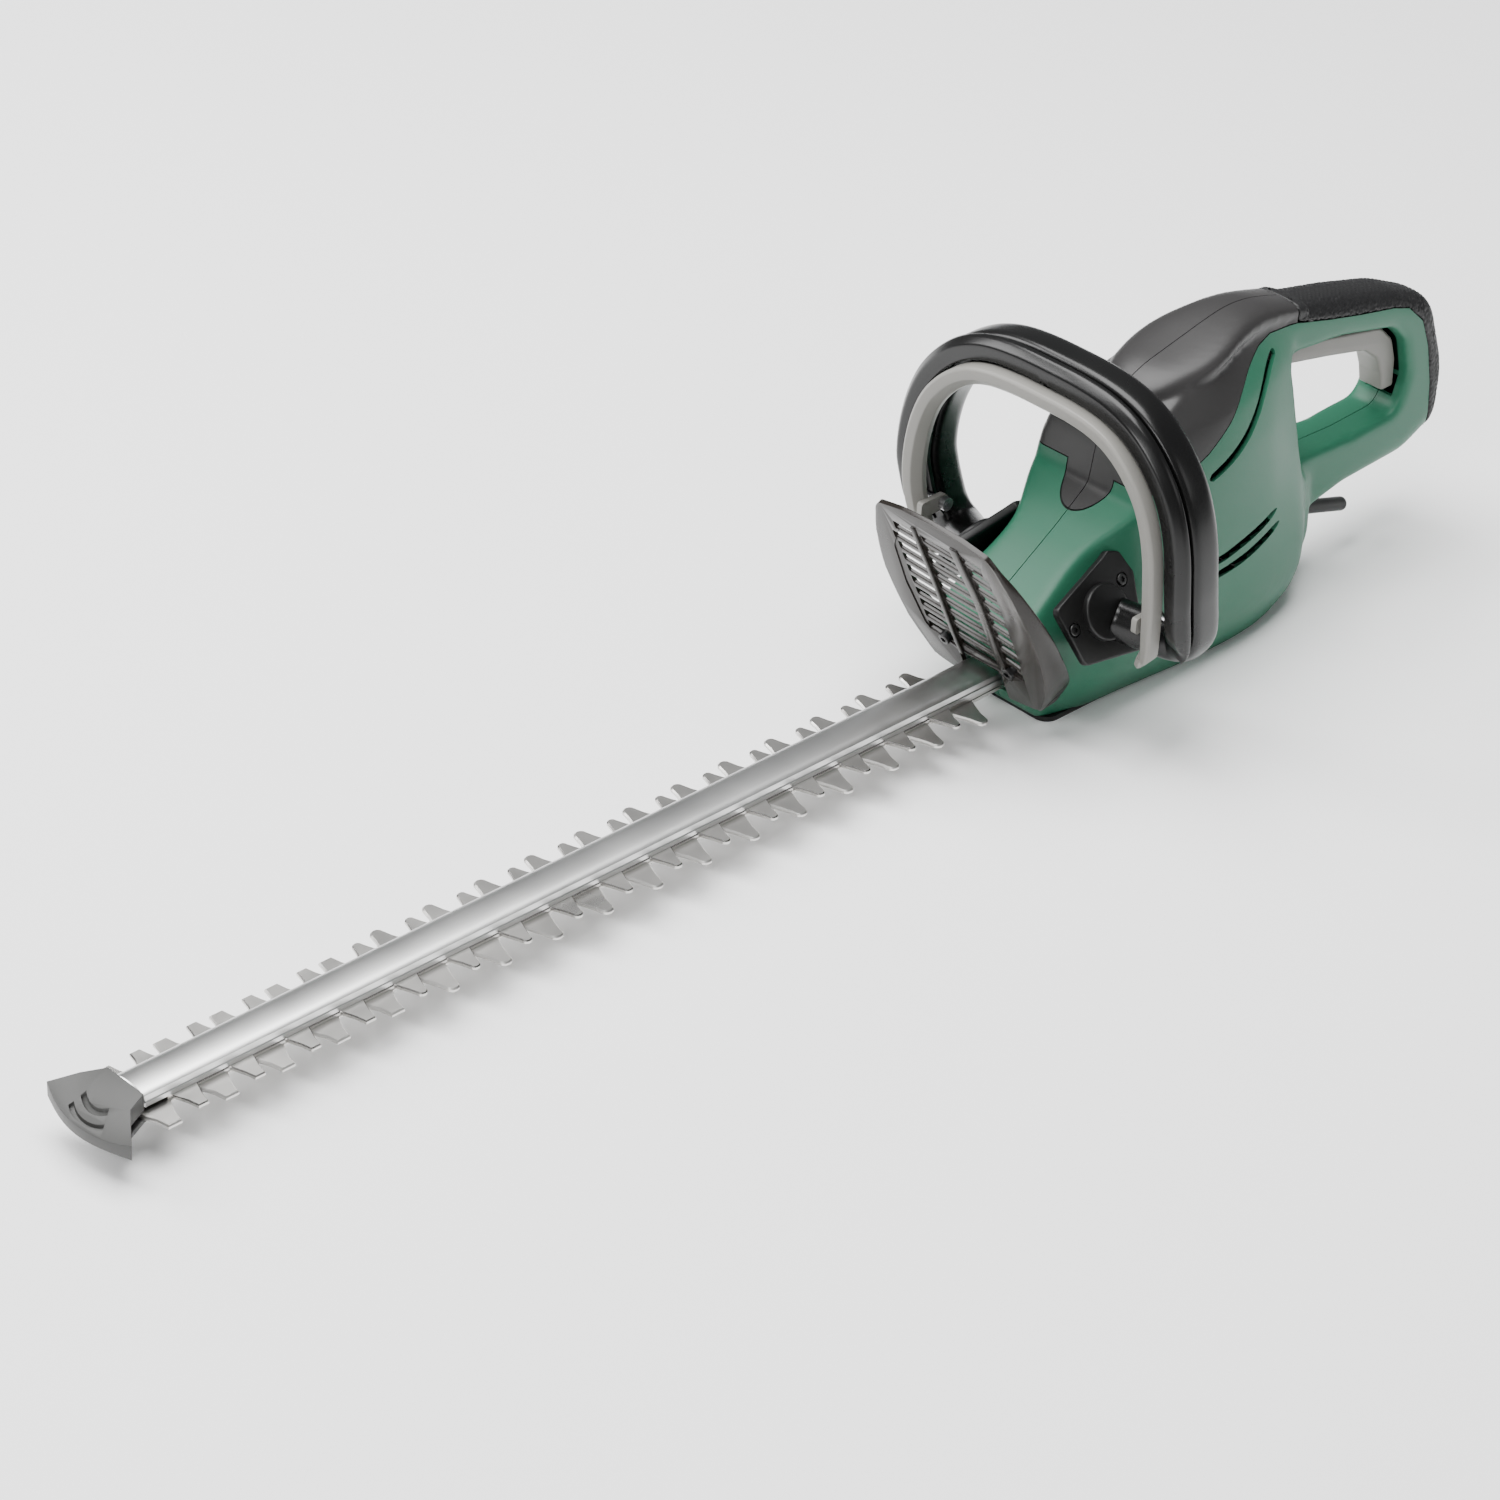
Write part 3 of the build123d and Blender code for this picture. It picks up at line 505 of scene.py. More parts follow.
def plain_steel():
    return surface("plain_steel", (0.42, 0.42, 0.43), 0.32, metallic=1.0, pattern="lines", scale=900.0,
                   depth=0.02, stretch=0.3)


def black_steel():
    return surface("black_steel", (0.07, 0.07, 0.07), 0.4, metallic=1.0, scale=1400.0, wear=0.6)


def cast_metal():
    return surface("cast_metal", (0.5, 0.5, 0.51), 0.5, metallic=1.0, scale=500.0, depth=0.1)


def stacked_sheet():
    return surface("stacked_sheet", (0.22, 0.22, 0.24), 0.45, metallic=1.0, pattern="lines", scale=1200.0,
                   stretch=1.0)


def enamelled_copper():
    return surface("enamelled_copper", (0.52, 0.2, 0.08), 0.28, metallic=1.0, scale=700.0, depth=0.15)


def drawn_brass():
    return surface("drawn_brass", (0.66, 0.49, 0.2), 0.3, metallic=1.0, pattern="lines", stretch=0.3)


def pressed_carbon():
    return surface("pressed_carbon", (0.02, 0.02, 0.02), 0.55, scale=900.0, depth=0.08)


def natural_nylon():
    return surface("natural_nylon", (0.55, 0.52, 0.46), 0.4, scale=900.0, tone=0.06)


def cord_rubber():
    return surface("cord_rubber", (0.012, 0.012, 0.012), 0.48, scale=1200.0, depth=0.03)


# Near-black green for the faces of the slot beside the hood: painted shade, standing in for the shade deep inside
# the slot.
def slot_dark():
    return surface("slot_dark", (0.006, 0.012, 0.009), 0.6, scale=900.0)


NODE_FINISHES = {
    black_plastic: ("front_plunger", "rear_plunger", "front_switch", "rear_switch", "bearing_bridge",
                    "air_baffle", "terminal_block", "base_plate",
                    "cable_clamp"),
    cast_metal: ("gearbox_housing",),
    plain_steel: ("cutter_pin", "blade_bolts", "drive_gear", "gear_axle", "connecting_rod", "blade_guide",
                  "clamp_block", "tail_bolts", "gearbox_bolts", "rotor_shaft", "upper_bearing", "lower_bearing",
                  "lever_pins", "lever_springs", "trigger_pin", "trigger_spring", "brush_springs"),
    black_steel: ("tip_guard_screw", "base_screws", "housing_screws", "clamp_screws"),
    stacked_sheet: ("rotor_core", "stator_core"),
    enamelled_copper: ("rotor_coils", "stator_coils", "commutator"),
    drawn_brass: ("gear_bush", "brush_holders"),
    pressed_carbon: ("carbon_brushes",),
    natural_nylon: ("cooling_fan", "capacitor"),
}


# ---- housing, hood and grip ----

LEVEL_STATIONS = (-152, -118, -88, -55, 0, 45, 85, 106)
LEVELS = (
    (-8, 108, (19, 25, 31, 33.5, 35, 35, 28, 18)),
    (0, 112, (20, 27, 33.6, 36, 40, 39, 30, 19)),
    (28, 121, (25, 35, 46, 49.5, 50, 47.5, 38, 24)),
    (60, 121, (25, 36, 46, 50, 50, 47, 36, 22)),
    (95, 112, (14, 18, 27, 44, 48.5, 43.5, 29, 19)),
    (130, 110, (11, 14, 22, 41, 46, 39, 24, 18)),
    (155, 110, (10, 12, 18, 33, 39.5, 32, 20.5, 17)),
    (172, 110, (9, 11, 14, 20, 27.5, 22.5, 16.5, 15.5)),
    (190, 110, (8, 10, 11, 13, 18, 15.5, 13, 13)),
    (214, 110, (8, 10, 10, 10, 12, 12, 12, 12)),
)
LEVEL_STEP = 6
BODY_SIDE = (
    (-116, 0, 8), (60, 0, 24), (92, 8, 24), (110, 24, 20), (120, 40, 12), (120, 62, 12), (95, 80, 6), (81, 150, 6),
    (90, 176, 4), (66, 185, 40), (40, 185, 40), (14, 180, 40), (-8, 174, 20), (-34, 164, 16), (-54, 148, 20),
    (-59, 118, 4), (-84, 99.5, 24), (-104, 86.5, 24), (-143, 61, 8),
)
HANDLE_SIDE = (
    (40, 184, 0), (94, 182, 0), (139, 172.5, 60), (180, 162, 60), (216, 146, 26), (233.5, 100, 60), (233, 62, 20),
    (203, 48, 30), (150, 45, 0), (118, 38, 0), (60, 30, 0),
)
HAND_OPENING = ((96, 81, 10), (150, 79, 0), (190, 81, 10), (197, 102, 12), (190, 128, 12), (177, 140, 12),
                (130, 150.5, 0), (83, 154, 6))
BORDER = ((-90, 126), (-57, 126), (-44, 128), (-30, 131), (-12, 138), (8, 149), (21, 158), (37, 167.5), (50, 174),
          (62, 176.5), (88, 173.5))
GRIP_BORDER = ((84, 174), (116, 166.5), (145, 160), (175, 154), (190, 149), (203, 137), (211, 118), (217, 92),
               (221, 55))
GRIP_FRONT_X = 88.5
CROWN = (
    (-41, 5, 161, 163.5), (-39, 11, 161.5, 167.5), (-34, 17.5, 163, 172), (-27, 22, 165.5, 175.8),
    (-18, 25.5, 168.5, 179), (-5, 28.2, 172.5, 182), (8, 28.8, 176.5, 185), (20, 27, 180, 187.8),
    (32, 24, 182.5, 190.3), (45, 21.2, 183.6, 192), (60, 19, 183.4, 191.2), (74, 17.8, 181.8, 188.2),
    (88, 17.2, 179.4, 184.4), (98, 17, 177.5, 181.5),
)
TONGUE_CENTRE = (0.0, 124.0)
TONGUE_RADIUS = 17.0


def level_ring(z, tip, halves):
    """Plan outline of the body at one height, as points round it."""
    side = curve_through([(x, half, 0) for x, half in zip(LEVEL_STATIONS, halves)], 6)
    last = side[-1]
    ring = [(point.x, point.y, z) for point in side]
    for step in range(1, 8):
        angle = math.pi * step / 8
        ring.append((last.x + (tip - last.x) * math.sin(angle), last.y * math.cos(angle), z))
    ring += [(point.x, -point.y, z) for point in reversed(side)]
    return ring


def level_between(z):
    """Tip and half widths at any height, on smooth curves through the levels."""
    index = max(i for i in range(len(LEVELS) - 1) if LEVELS[i][0] <= z)
    share = (z - LEVELS[index][0]) / (LEVELS[index + 1][0] - LEVELS[index][0])
    rows = [LEVELS[min(max(i, 0), len(LEVELS) - 1)] for i in range(index - 1, index + 3)]
    values = []
    for p0, p1, p2, p3 in zip(*[(row[1],) + row[2] for row in rows]):
        first = (p2 - p0) / 2
        last = (p3 - p1) / 2
        values.append(p1 + first * share + (3 * (p2 - p1) - 2 * first - last) * share ** 2
                      + (2 * (p1 - p2) + first + last) * share ** 3)
    return values[0], values[1:]


def crown_form():
    """Pillow-shaped crown of the hood, from a round nose to a narrow neck at the grip."""
    stations = curve_through([(x, 0, 0) for x, *rest in CROWN], 3)
    shapes = [curve_through([(row[column], 0, 0) for row in CROWN], 3) for column in (1, 2, 3)]
    rings = []
    for place, half, crease, top in zip(stations, *shapes):
        ring = []
        for step in range(56):
            angle = 2 * math.pi * step / 56
            across = math.copysign(abs(math.cos(angle)) ** 0.72, math.cos(angle))
            up = math.copysign(abs(math.sin(angle)) ** 0.8, math.sin(angle))
            ring.append((place.x, half.x * across, crease.x + (top.x - crease.x if up > 0 else 7) * up))
        rings.append(ring)
    return skin("crown", rings)


def body_form():
    """Closed form of body, crown and rear handle, with its edges melted together."""
    settings = bpy.context.scene.trimmer_sizes
    heights = range(LEVELS[0][0], LEVELS[-1][0], LEVEL_STEP)
    form = skin("body_form", [level_ring(z, *level_between(z)) for z in heights])
    boolean(form, side_prism("side", rounded(BODY_SIDE, 0), -80, 80), "INTERSECT")
    bevel(form, 5, 3, 50)
    handle = side_prism("handle", rounded(HANDLE_SIDE, 0, 8), -17.6, 17.6)
    bevel(handle, 13, 8, 60)
    opening = side_prism("opening", rounded(HAND_OPENING, 0, 6), -60, 60)
    boolean(handle, opening)
    rim_angle = 50
    bevel(handle, 4.5, 4, rim_angle)
    boolean(form, handle, "UNION")
    remesh_smooth(form, settings.form_voxel / MM, 14)
    crown = crown_form()
    remesh_smooth(crown, settings.form_voxel / MM, 4)
    boolean(form, crown, "UNION")
    remesh_smooth(form, settings.form_voxel / MM, 3)
    return form


def tongue(radius):
    """Round tongue of the hood that dips into the front of the housing."""
    y, z = TONGUE_CENTRE
    piece = rod("tongue", (-80, y, z), (-40, y, z), radius, 64)
    boolean(piece, block("tongue_top", (-90, -40, z), (-30, 40, z + 60)))
    boolean(piece, block("tongue_rise", (-80, -radius, z - 0.5), (-40, radius, z + 20)), "UNION")
    return piece


def region(form, name, outline, tongue_radius=0.0):
    """Open patch of the form inside a side outline. A negative radius cuts the tongue away."""
    patch = duplicate(form, name)
    patch.data.materials.append(plain_steel())
    cutter = side_prism("region", outline, -90, 90)
    if tongue_radius:
        boolean(cutter, tongue(abs(tongue_radius)), "UNION" if tongue_radius > 0 else "DIFFERENCE")
    cutter.data.materials.clear()
    # The second finish is the slot's painted shade. The third marks the cutter's faces for removal.
    for maker in (green_plastic, slot_dark, plain_steel):
        cutter.data.materials.append(maker())
    cutter.data.polygons.foreach_set("material_index", [2] * len(cutter.data.polygons))
    boolean(patch, cutter, "INTERSECT")
    drop_cut_faces(patch, 2)
    return patch


def side_surface(form, x, z, side):
    """Y of the form's side surface at a station and height."""
    start = Vector((x, side * 90, z)) * MM
    found, place, normal, index = form.ray_cast(start, Vector((0, -side, 0)))
    return place.y / MM if found else side * 40


def groove(form, name, points, width, depth, floor_share=0.8, blunt=0.3):
    """Cutter that follows the left side's surface along a curve given in X and Z."""
    path = curve_through([(x, 0, z) for x, z in points], 8)
    heights = [side_surface(form, point.x, point.z, -1) for point in path]
    rings = []
    for index, point in enumerate(path):
        before = path[max(index - 1, 0)]
        after = path[min(index + 1, len(path) - 1)]
        along = (after - before).normalized()
        across = Vector((-along.z, 0, along.x))
        taper = min(1.0, 0.3 + 0.7 * math.sin(math.pi * index / (len(path) - 1)) ** blunt)
        near = heights[max(index - 4, 0):index + 5]
        y = sum(near) / len(near)
        half = 0.5 * width * taper
        ring = []
        profile = ((-1.3, -6), (-1, 0), (-floor_share, depth), (floor_share, depth), (1, 0), (1.3, -6))
        for offset, inward in profile:
            place = point + across * (half * offset)
            ring.append((place.x, y + inward, place.z))
        rings.append(ring)
    return skin(name, rings)


SLOT_LINE = ((63, 167.5), (56, 163), (45, 154), (34, 144.5), (20, 135.5), (4, 128), (-12, 122.5))
VENT_LINES = (((-16, 69), (2, 69), (20, 72), (38, 75.5), (54, 79)),
              ((-10, 60), (4, 60), (22, 62), (40, 66), (57, 70)))


def cut_vents(form):
    """Slot beside the hood, its faces given a near-black finish as painted shade, and two vents low on each side.
    """
    painted_shade = slot_dark()
    slot = groove(form, "slot_cut", SLOT_LINE, 6.2, 2.4, 0.8, 0.12)
    slot.data.materials.append(green_plastic())
    slot.data.materials.append(painted_shade)
    # The slot's faces take the near-black finish: painted shade in place of the shade inside the slot.
    slot.data.polygons.foreach_set("material_index", [1] * len(slot.data.polygons))
    cutters = [slot] + [groove(form, "vent_cut", line, 5.2, 1.9, 0.35) for line in VENT_LINES]
    form.data.materials.append(green_plastic())
    form.data.materials.append(painted_shade)
    for cutter in list(cutters):
        cutters.append(mirrored(cutter, "far_cut"))
    for cutter in cutters:
        boolean(form, cutter)


def housing_outline():
    """Side region of the green housing, below hood and grip."""
    lower = [(-200, -20), (300, -20), (300, 54.5)]
    grip = [(x, z - 0.35) for x, z in reversed(GRIP_BORDER[1:])]
    return lower + grip + [(x, z - 0.35) for x, z in reversed(BORDER)] + [(-200, BORDER[0][1] - 0.35)]


def hood_outline():
    rear_x = GRIP_FRONT_X - 0.6
    edge = [(x, z + 0.35) for x, z in BORDER[:-1]]
    return edge + [(rear_x, BORDER[-1][1] + 0.35), (rear_x, 240), (-90, 240)]


def grip_outline():
    front_x = GRIP_FRONT_X + 0.6
    border = [(front_x, BORDER[-1][1] + 0.35)] + [(x + 0.2, z + 0.35) for x, z in GRIP_BORDER[1:]]
    return border + [(300, 55), (300, 240), (front_x, 240)]


def build_housing():
    settings = bpy.context.scene.trimmer_sizes
    form = body_form()
    cut_vents(form)
    green = region(form, "housing", housing_outline(), -TONGUE_RADIUS - 0.35)
    hood = region(form, "hood", hood_outline(), TONGUE_RADIUS - 0.35)
    grip = region(form, "grip", grip_outline())
    seam = 0.5 * settings.seam_gap / MM
    halves = []
    for source, name in ((green, "housing"), (hood, "hood")):
        keep_side(source, -seam, True)
        shell(source, settings.wall / MM)
        halves.append(source)
    trim = ((97, 145.5, 2), (80, 145.5, 2), (80, 158, 2), (130, 157, 2), (175, 149, 5), (194.5, 130, 5),
            (199, 103, 4), (197, 88, 2), (184, 88, 2), (180, 120, 4), (166, 134, 4))
    base_gap = 0.4
    openings = [
        side_prism("trigger_slot", rounded(trim, 0, 4), -9.8, 9.8),
        block("base_opening", (BASE_LOW[0] - base_gap, BASE_LOW[1] - base_gap, -8),
              (BASE_HIGH[0] + base_gap, BASE_HIGH[1] + base_gap, 3.4)),
        block("blade_opening", (-175, -16, 12), (-106, 16, 34)),
    ]
    for cutter in openings:
        boolean(green, cutter)
    for half, name, finish_maker in ((green, "housing", green_plastic), (hood, "hood", hood_plastic)):
        far = mirrored(half, name + "_far_half")
        half.name = name + "_near_half"
        for piece, node in ((half, name + "_left"), (far, name + "_right")):
            piece.data.materials[0] = finish_maker()
            # Second finish: the painted shade on the slot's faces.
            piece.data.materials[1] = slot_dark()
            while len(piece.data.materials) > 2:
                piece.data.materials.pop()
            finish(piece, "root", None, (node,))
    build_grip(grip)
    bpy.data.objects.remove(form)


def grip_run(x, z):
    """Distance along the rear handle, measured round the middle of its opening's rear corner."""
    if x < 180:
        return x
    return 180 + 50 * max(0.0, math.atan2(x - 180, z - 105))


def knurl(x, y, z, normal):
    """Small diamonds raised on the soft grip, fading out at its front end."""
    outward = normal.z if x < 180 else normal.normalized().dot(Vector((x - 180, 0, z - 105)).normalized())
    girth = math.copysign(26 - 26 * max(-0.2, outward), y) if abs(y) > 9 else y
    first = math.sin(math.pi * (grip_run(x, z) + 1.15 * girth) / KNURL_PITCH)
    second = math.sin(math.pi * (grip_run(x, z) - 1.15 * girth) / KNURL_PITCH)
    diamond = min(1.0, 1.6 * abs(first) * abs(second) ** 1.0)
    return 0.25 + KNURL_RISE * diamond * ease(GRIP_FRONT_X + 2.5, GRIP_FRONT_X + 6, x)


KNURL_PITCH = 3.6
KNURL_RISE = 0.55


def build_grip(grip):
    """Knurled soft grip along the top and back of the rear handle."""
    modify(grip, "SUBSURF", levels=1, render_levels=1)
    sculpt(grip, knurl)
    shell(grip, 2.6)
    finish(grip, "root", grip_rubber(), ("rear_grip_pad",), 60)


# ---- rear trigger and cable sleeve ----


def build_trigger():
    """L-shaped trigger along the top and back of the hand opening."""
    outline = ((81, 147, 4), (90, 142.5, 6), (130, 134.5, 0), (163, 127, 10), (176, 118, 10), (181, 106, 8),
               (183.5, 94, 2), (194, 94, 2), (193, 112, 8), (188, 127, 12), (176, 138, 12), (130, 147, 0),
               (92, 154, 3), (81, 154, 3))
    trigger = side_prism("trigger_blade", rounded(outline, 0, 5), -9, 9)
    bevel(trigger, 2.6, 4, 50)
    finish(trigger, "trigger", lever_grey(), ("rear_trigger",))


def build_sleeve():
    """Rubber sleeve of the cord, with a rounded lip."""
    start = Vector((SLEEVE_LOW[0] + 1.3, 0, SLEEVE_HIGH[2] - 4.2))
    end = Vector((SLEEVE_HIGH[0] - 1.3, 0, SLEEVE_LOW[2] + 4.2))
    axis = (end - start).normalized()
    turn = axis.to_track_quat("Z", "Y")
    length = (end - start).length
    profile = ((0, 4.3), (length - 2, 4.3), (length - 0.7, 4.0), (length, 3.3), (length - 0.4, 2.95),
               (length - 30, 2.95), (0, 2.95))
    rings = []
    for along, radius in profile:
        ring = []
        for step in range(32):
            angle = 2 * math.pi * step / 32
            spoke = Vector((radius * math.cos(angle), radius * math.sin(angle), 0))
            ring.append(start + axis * along + turn @ spoke)
        rings.append(ring)
    sleeve = skin("cord_sleeve", rings, closed=True)
    finish(sleeve, "root", cord_rubber(), ("cable_sleeve",), 50)


# ---- front handle ----


def arch_point(inset, step):
    """Point of the arch's outline at an inset, in Y and Z, for the arch's unit point number step."""
    across, up = BAIL_ARCH[step]
    return (BAIL_HALF - inset) * across, BAIL_WAIST + (BAIL_TOP - BAIL_WAIST - inset) * up


def leg_lean(z):
    """How far back the front handle's legs lean at a height."""
    return LEG_LEAN * ease(118, 52, z)


def arch_path(inset, x, floor):
    """Arch from one foot up to the top and down to the other foot."""
    waist = BAIL_HALF - inset
    leg = [(0.992 * waist, BAIL_WAIST - 18), (0.972 * waist, BAIL_WAIST - 34), (0.935 * waist, floor)]
    side = [arch_point(inset, step) for step in range(len(BAIL_ARCH))] + leg
    right = [(x + leg_lean(z), y, z) for y, z in side]
    left = [(px, -y, z) for px, y, z in reversed(right[1:])]
    return curve_through(left + right, 5)


def handle_path(inset, x):
    """Arch whose lower corners turn inwards, and whose arms run up to the side plates."""
    corner_y, corner_z, corner = CORNER
    side = [(x, *arch_point(inset, step)) for step in range(len(BAIL_ARCH))]
    side.append((x, 0.995 * (BAIL_HALF - inset), BAIL_WAIST - 15))
    for turn in (4, 26, 48, 70):
        angle = math.radians(turn)
        y = corner_y + (corner - inset) * math.cos(angle)
        side.append((x, y, corner_z - (corner - inset) * math.sin(angle)))
    side = [(px + leg_lean(z), y, z) for px, y, z in side]
    foot = side[-1]
    arm_x, arm_y, arm_z = ARM_ROOT
    for share in (0.35, 0.7, 1.0):
        side.append((foot[0] + (arm_x - foot[0]) * share, foot[1] + (arm_y - foot[1]) * share,
                     foot[2] + (arm_z - foot[2]) * share ** 1.2))
    near = [(px, -y, z) for px, y, z in reversed(side[1:])]
    return curve_through(near + side, 5)


def sweep(name, path, section):
    """Sweeps a section along a path across the handle. section(share) gives offsets backwards and inwards."""
    rings = []
    for index, point in enumerate(path):
        before = path[max(index - 1, 0)]
        after = path[min(index + 1, len(path) - 1)]
        along = (after - before).normalized()
        inward = along.cross(Vector((1, 0, 0))).normalized()
        sideways = inward.cross(along)
        share = index / (len(path) - 1)
        rings.append([point + sideways * depth + inward * rise for depth, rise in section(share)])
    return skin(name, rings)


def super_oval(half_x, half_r, power, count=28):
    """Rounded section with half sizes along X and outwards."""
    ring = []
    for step in range(count):
        angle = 2 * math.pi * step / count
        c, s = math.cos(angle), math.sin(angle)
        across = half_x * math.copysign(abs(c) ** (2 / power), c)
        ring.append((across, half_r * math.copysign(abs(s) ** (2 / power), s)))
    return ring


def build_front_handle():
    """Arched handle: rear shell with its arms, front shell and grey switch lever."""
    middle_x = BAIL_HIGH[0] - 11.7
    path = handle_path(12.0, middle_x)

    def rear_section(share):
        arm = ease(0.20, 0.10, min(share, 1 - share))
        radius = 11.6 + 0.4 * arm
        round_half = super_oval(radius, radius, 2.9 - 0.9 * arm)
        square_half = super_oval(radius, radius, 5.0 - 3.0 * arm)
        return [soft if soft[0] > 0 else square for soft, square in zip(round_half, square_half)]

    rear = sweep("front_handle_back", path, rear_section)
    modify(rear, "SUBSURF", levels=1, render_levels=1)
    low = (BAIL_LOW[0] - 30, -13.2, 187.8)
    boolean(rear, block("pocket", low, (middle_x + 8.5, 13.2, 199.2)))
    finish(rear, "root", handle_black(), ("front_handle_rear_shell",), 40)
    build_front_shell(middle_x)
    build_lever()


def build_front_shell(middle_x):
    """Front half of the handle, which fades into the rear half round the lower corners."""
    x0, x1 = FRONT_SHELL_LOW[0] - middle_x, FRONT_SHELL_HIGH[0] - 0.6 - middle_x
    corners = [(x1, 0.5, 1.2), (x0 + 4.5, 0.9, 4.0), (x0 + 0.2, 5.0, 3.4), (x0 + 0.6, 13.8, 1.2),
               (x1 + 0.2, 13.8, 0),
               (x1 + 0.2, 21, 0.3), (x1 + 2.8, 21, 0.3), (x1 + 2.8, 6, 0.3), (x1, 6, 0.3)]
    section = rounded(corners, 1, 4)
    arm_steps = 22
    path = handle_path(0.0, middle_x)[arm_steps:-arm_steps]

    def fading(share):
        depth = ease(0.0, 0.09, min(share, 1 - share))
        return [(x1 + (x - x1) * (0.12 + 0.88 * depth), rise) for x, rise in section]

    shell_piece = sweep("front_handle_front", path, fading)
    boolean(shell_piece, block("plunger_hole", (-110, -2.6, 189.4), (-85, 2.6, 194.6)), solver="EXACT")
    finish(shell_piece, "root", handle_black(), ("front_handle_front_shell",), 40)


def build_lever():
    """Grey switch lever with a flat front facet, a slanted inner facet and rounded ends."""
    x0, x1 = LEVER_LOW[0], LEVER_LOW[0] + 9.5
    corners = [(x1, 15.2, 0.6), (x0 + 1.4, 15.4, 1.4), (x0, 17.2, 1.4), (x0 + 0.7, 22.8, 1.6),
               (x1 - 3.4, 27.0, 1.2),
               (x1, 27.0, 0.6)]
    section = rounded(corners, 1, 3)
    middle = 21.0

    def tapering(share):
        foot = min(share, 1 - share)
        width = 0.55 + 0.45 * ease(0.0, 0.16, foot)
        width *= math.sqrt(max(0.02, 1 - max(0.0, 1 - foot / 0.012) ** 2))
        depth = math.sqrt(max(0.05, 1 - max(0.0, 1 - foot / 0.008) ** 2))
        return [(x1 + (x - x1) * depth, middle + (rise - middle) * width) for x, rise in section]

    lever = sweep("switch_lever", arch_path(0.0, 0.0, 61.5), tapering)
    pivot_x, pivot_z = LEVER_PIVOT
    for side in (-1, 1):
        y0, y1 = sorted((side * 78.7, side * 82.3))
        eye = [(x0 + 4, pivot_z - 4.8, 2), (pivot_x + 4.6, pivot_z - 4.8, 4.6),
               (pivot_x + 4.6, pivot_z + 4.8, 4.6), (x0 + 4, pivot_z + 4.8, 2)]
        ear = side_prism("ear", rounded(eye, 2, 4), y0, y1)
        boolean(lever, ear, "UNION", solver="EXACT")
    finish(lever, "front_lever", lever_grey(), ("front_switch_lever",), 35)


# ---- hand guard ----


def guard_matrix():
    """Turns the guard's own plane, X across and Y up, to its leaning place."""
    across = Vector((0, -1, 0))
    out = Vector((-math.cos(GUARD_LEAN), 0, -math.sin(GUARD_LEAN)))
    up = out.cross(across)
    turn = Matrix((across, up, out)).transposed().to_4x4()
    return Matrix.Translation(Vector((GUARD_FOOT_X, 0, 0)) * MM) @ turn


GUARD_SIDE = ((15.6, 15.4), (40, 20), (52, 46), (56.5, 84), (51.5, 118), (44, 141), (40, 146.5))


def guard_outline(inset=0.0):
    """Outline of the guard in its own plane, with an arched top and a notch for the blade."""
    side = [(x - inset, y + (inset if y < 30 else 0), 10) for x, y in GUARD_SIDE[1:-1]]
    top = [(GUARD_SIDE[-1][0] - inset, 147.0 - inset, 5), (22, 151.5 - inset, 20), (0, 152.8 - inset, 0)]
    right = [(GUARD_SIDE[0][0] + inset, GUARD_SIDE[0][1] + inset, 1)] + side + top
    left = [(-point[0],) + point[1:] for point in reversed(right[:-1])]
    notch = 38 + inset
    return rounded(right + left + [(-15.6 - inset, notch, 2), (15.6 + inset, notch, 2)], 0, 5)


def guard_flange(side):
    """Side flange of the guard, swept back deeper towards its foot."""
    path = curve_through([(side * x, y, 0) for x, y in GUARD_SIDE[1:-1]], 6)
    rings = []
    for index, point in enumerate(path):
        before = path[max(index - 1, 0)]
        after = path[min(index + 1, len(path) - 1)]
        along = (after - before).normalized()
        outward = Vector((along.y, -along.x, 0)) * side
        share = index / (len(path) - 1)
        depth = 3.0 + 20.0 * (1 - share) ** 1.25 * ease(-0.08, 0.1, share)
        flare = 2.4 * (1 - share)
        thick = 2.6
        edge = [(0.0, -0.2), (0.6, -1.4), (flare, -depth + 1), (flare - 0.5, -depth),
                (flare - thick + 0.6, -depth), (flare - thick, -depth + 1), (-thick - 0.6, -3.0),
                (-thick - 1.2, -0.2), (-1.2, 0.0)]
        rings.append([point + outward * out + Vector((0, 0, back)) for out, back in edge])
    return skin("flange", rings)


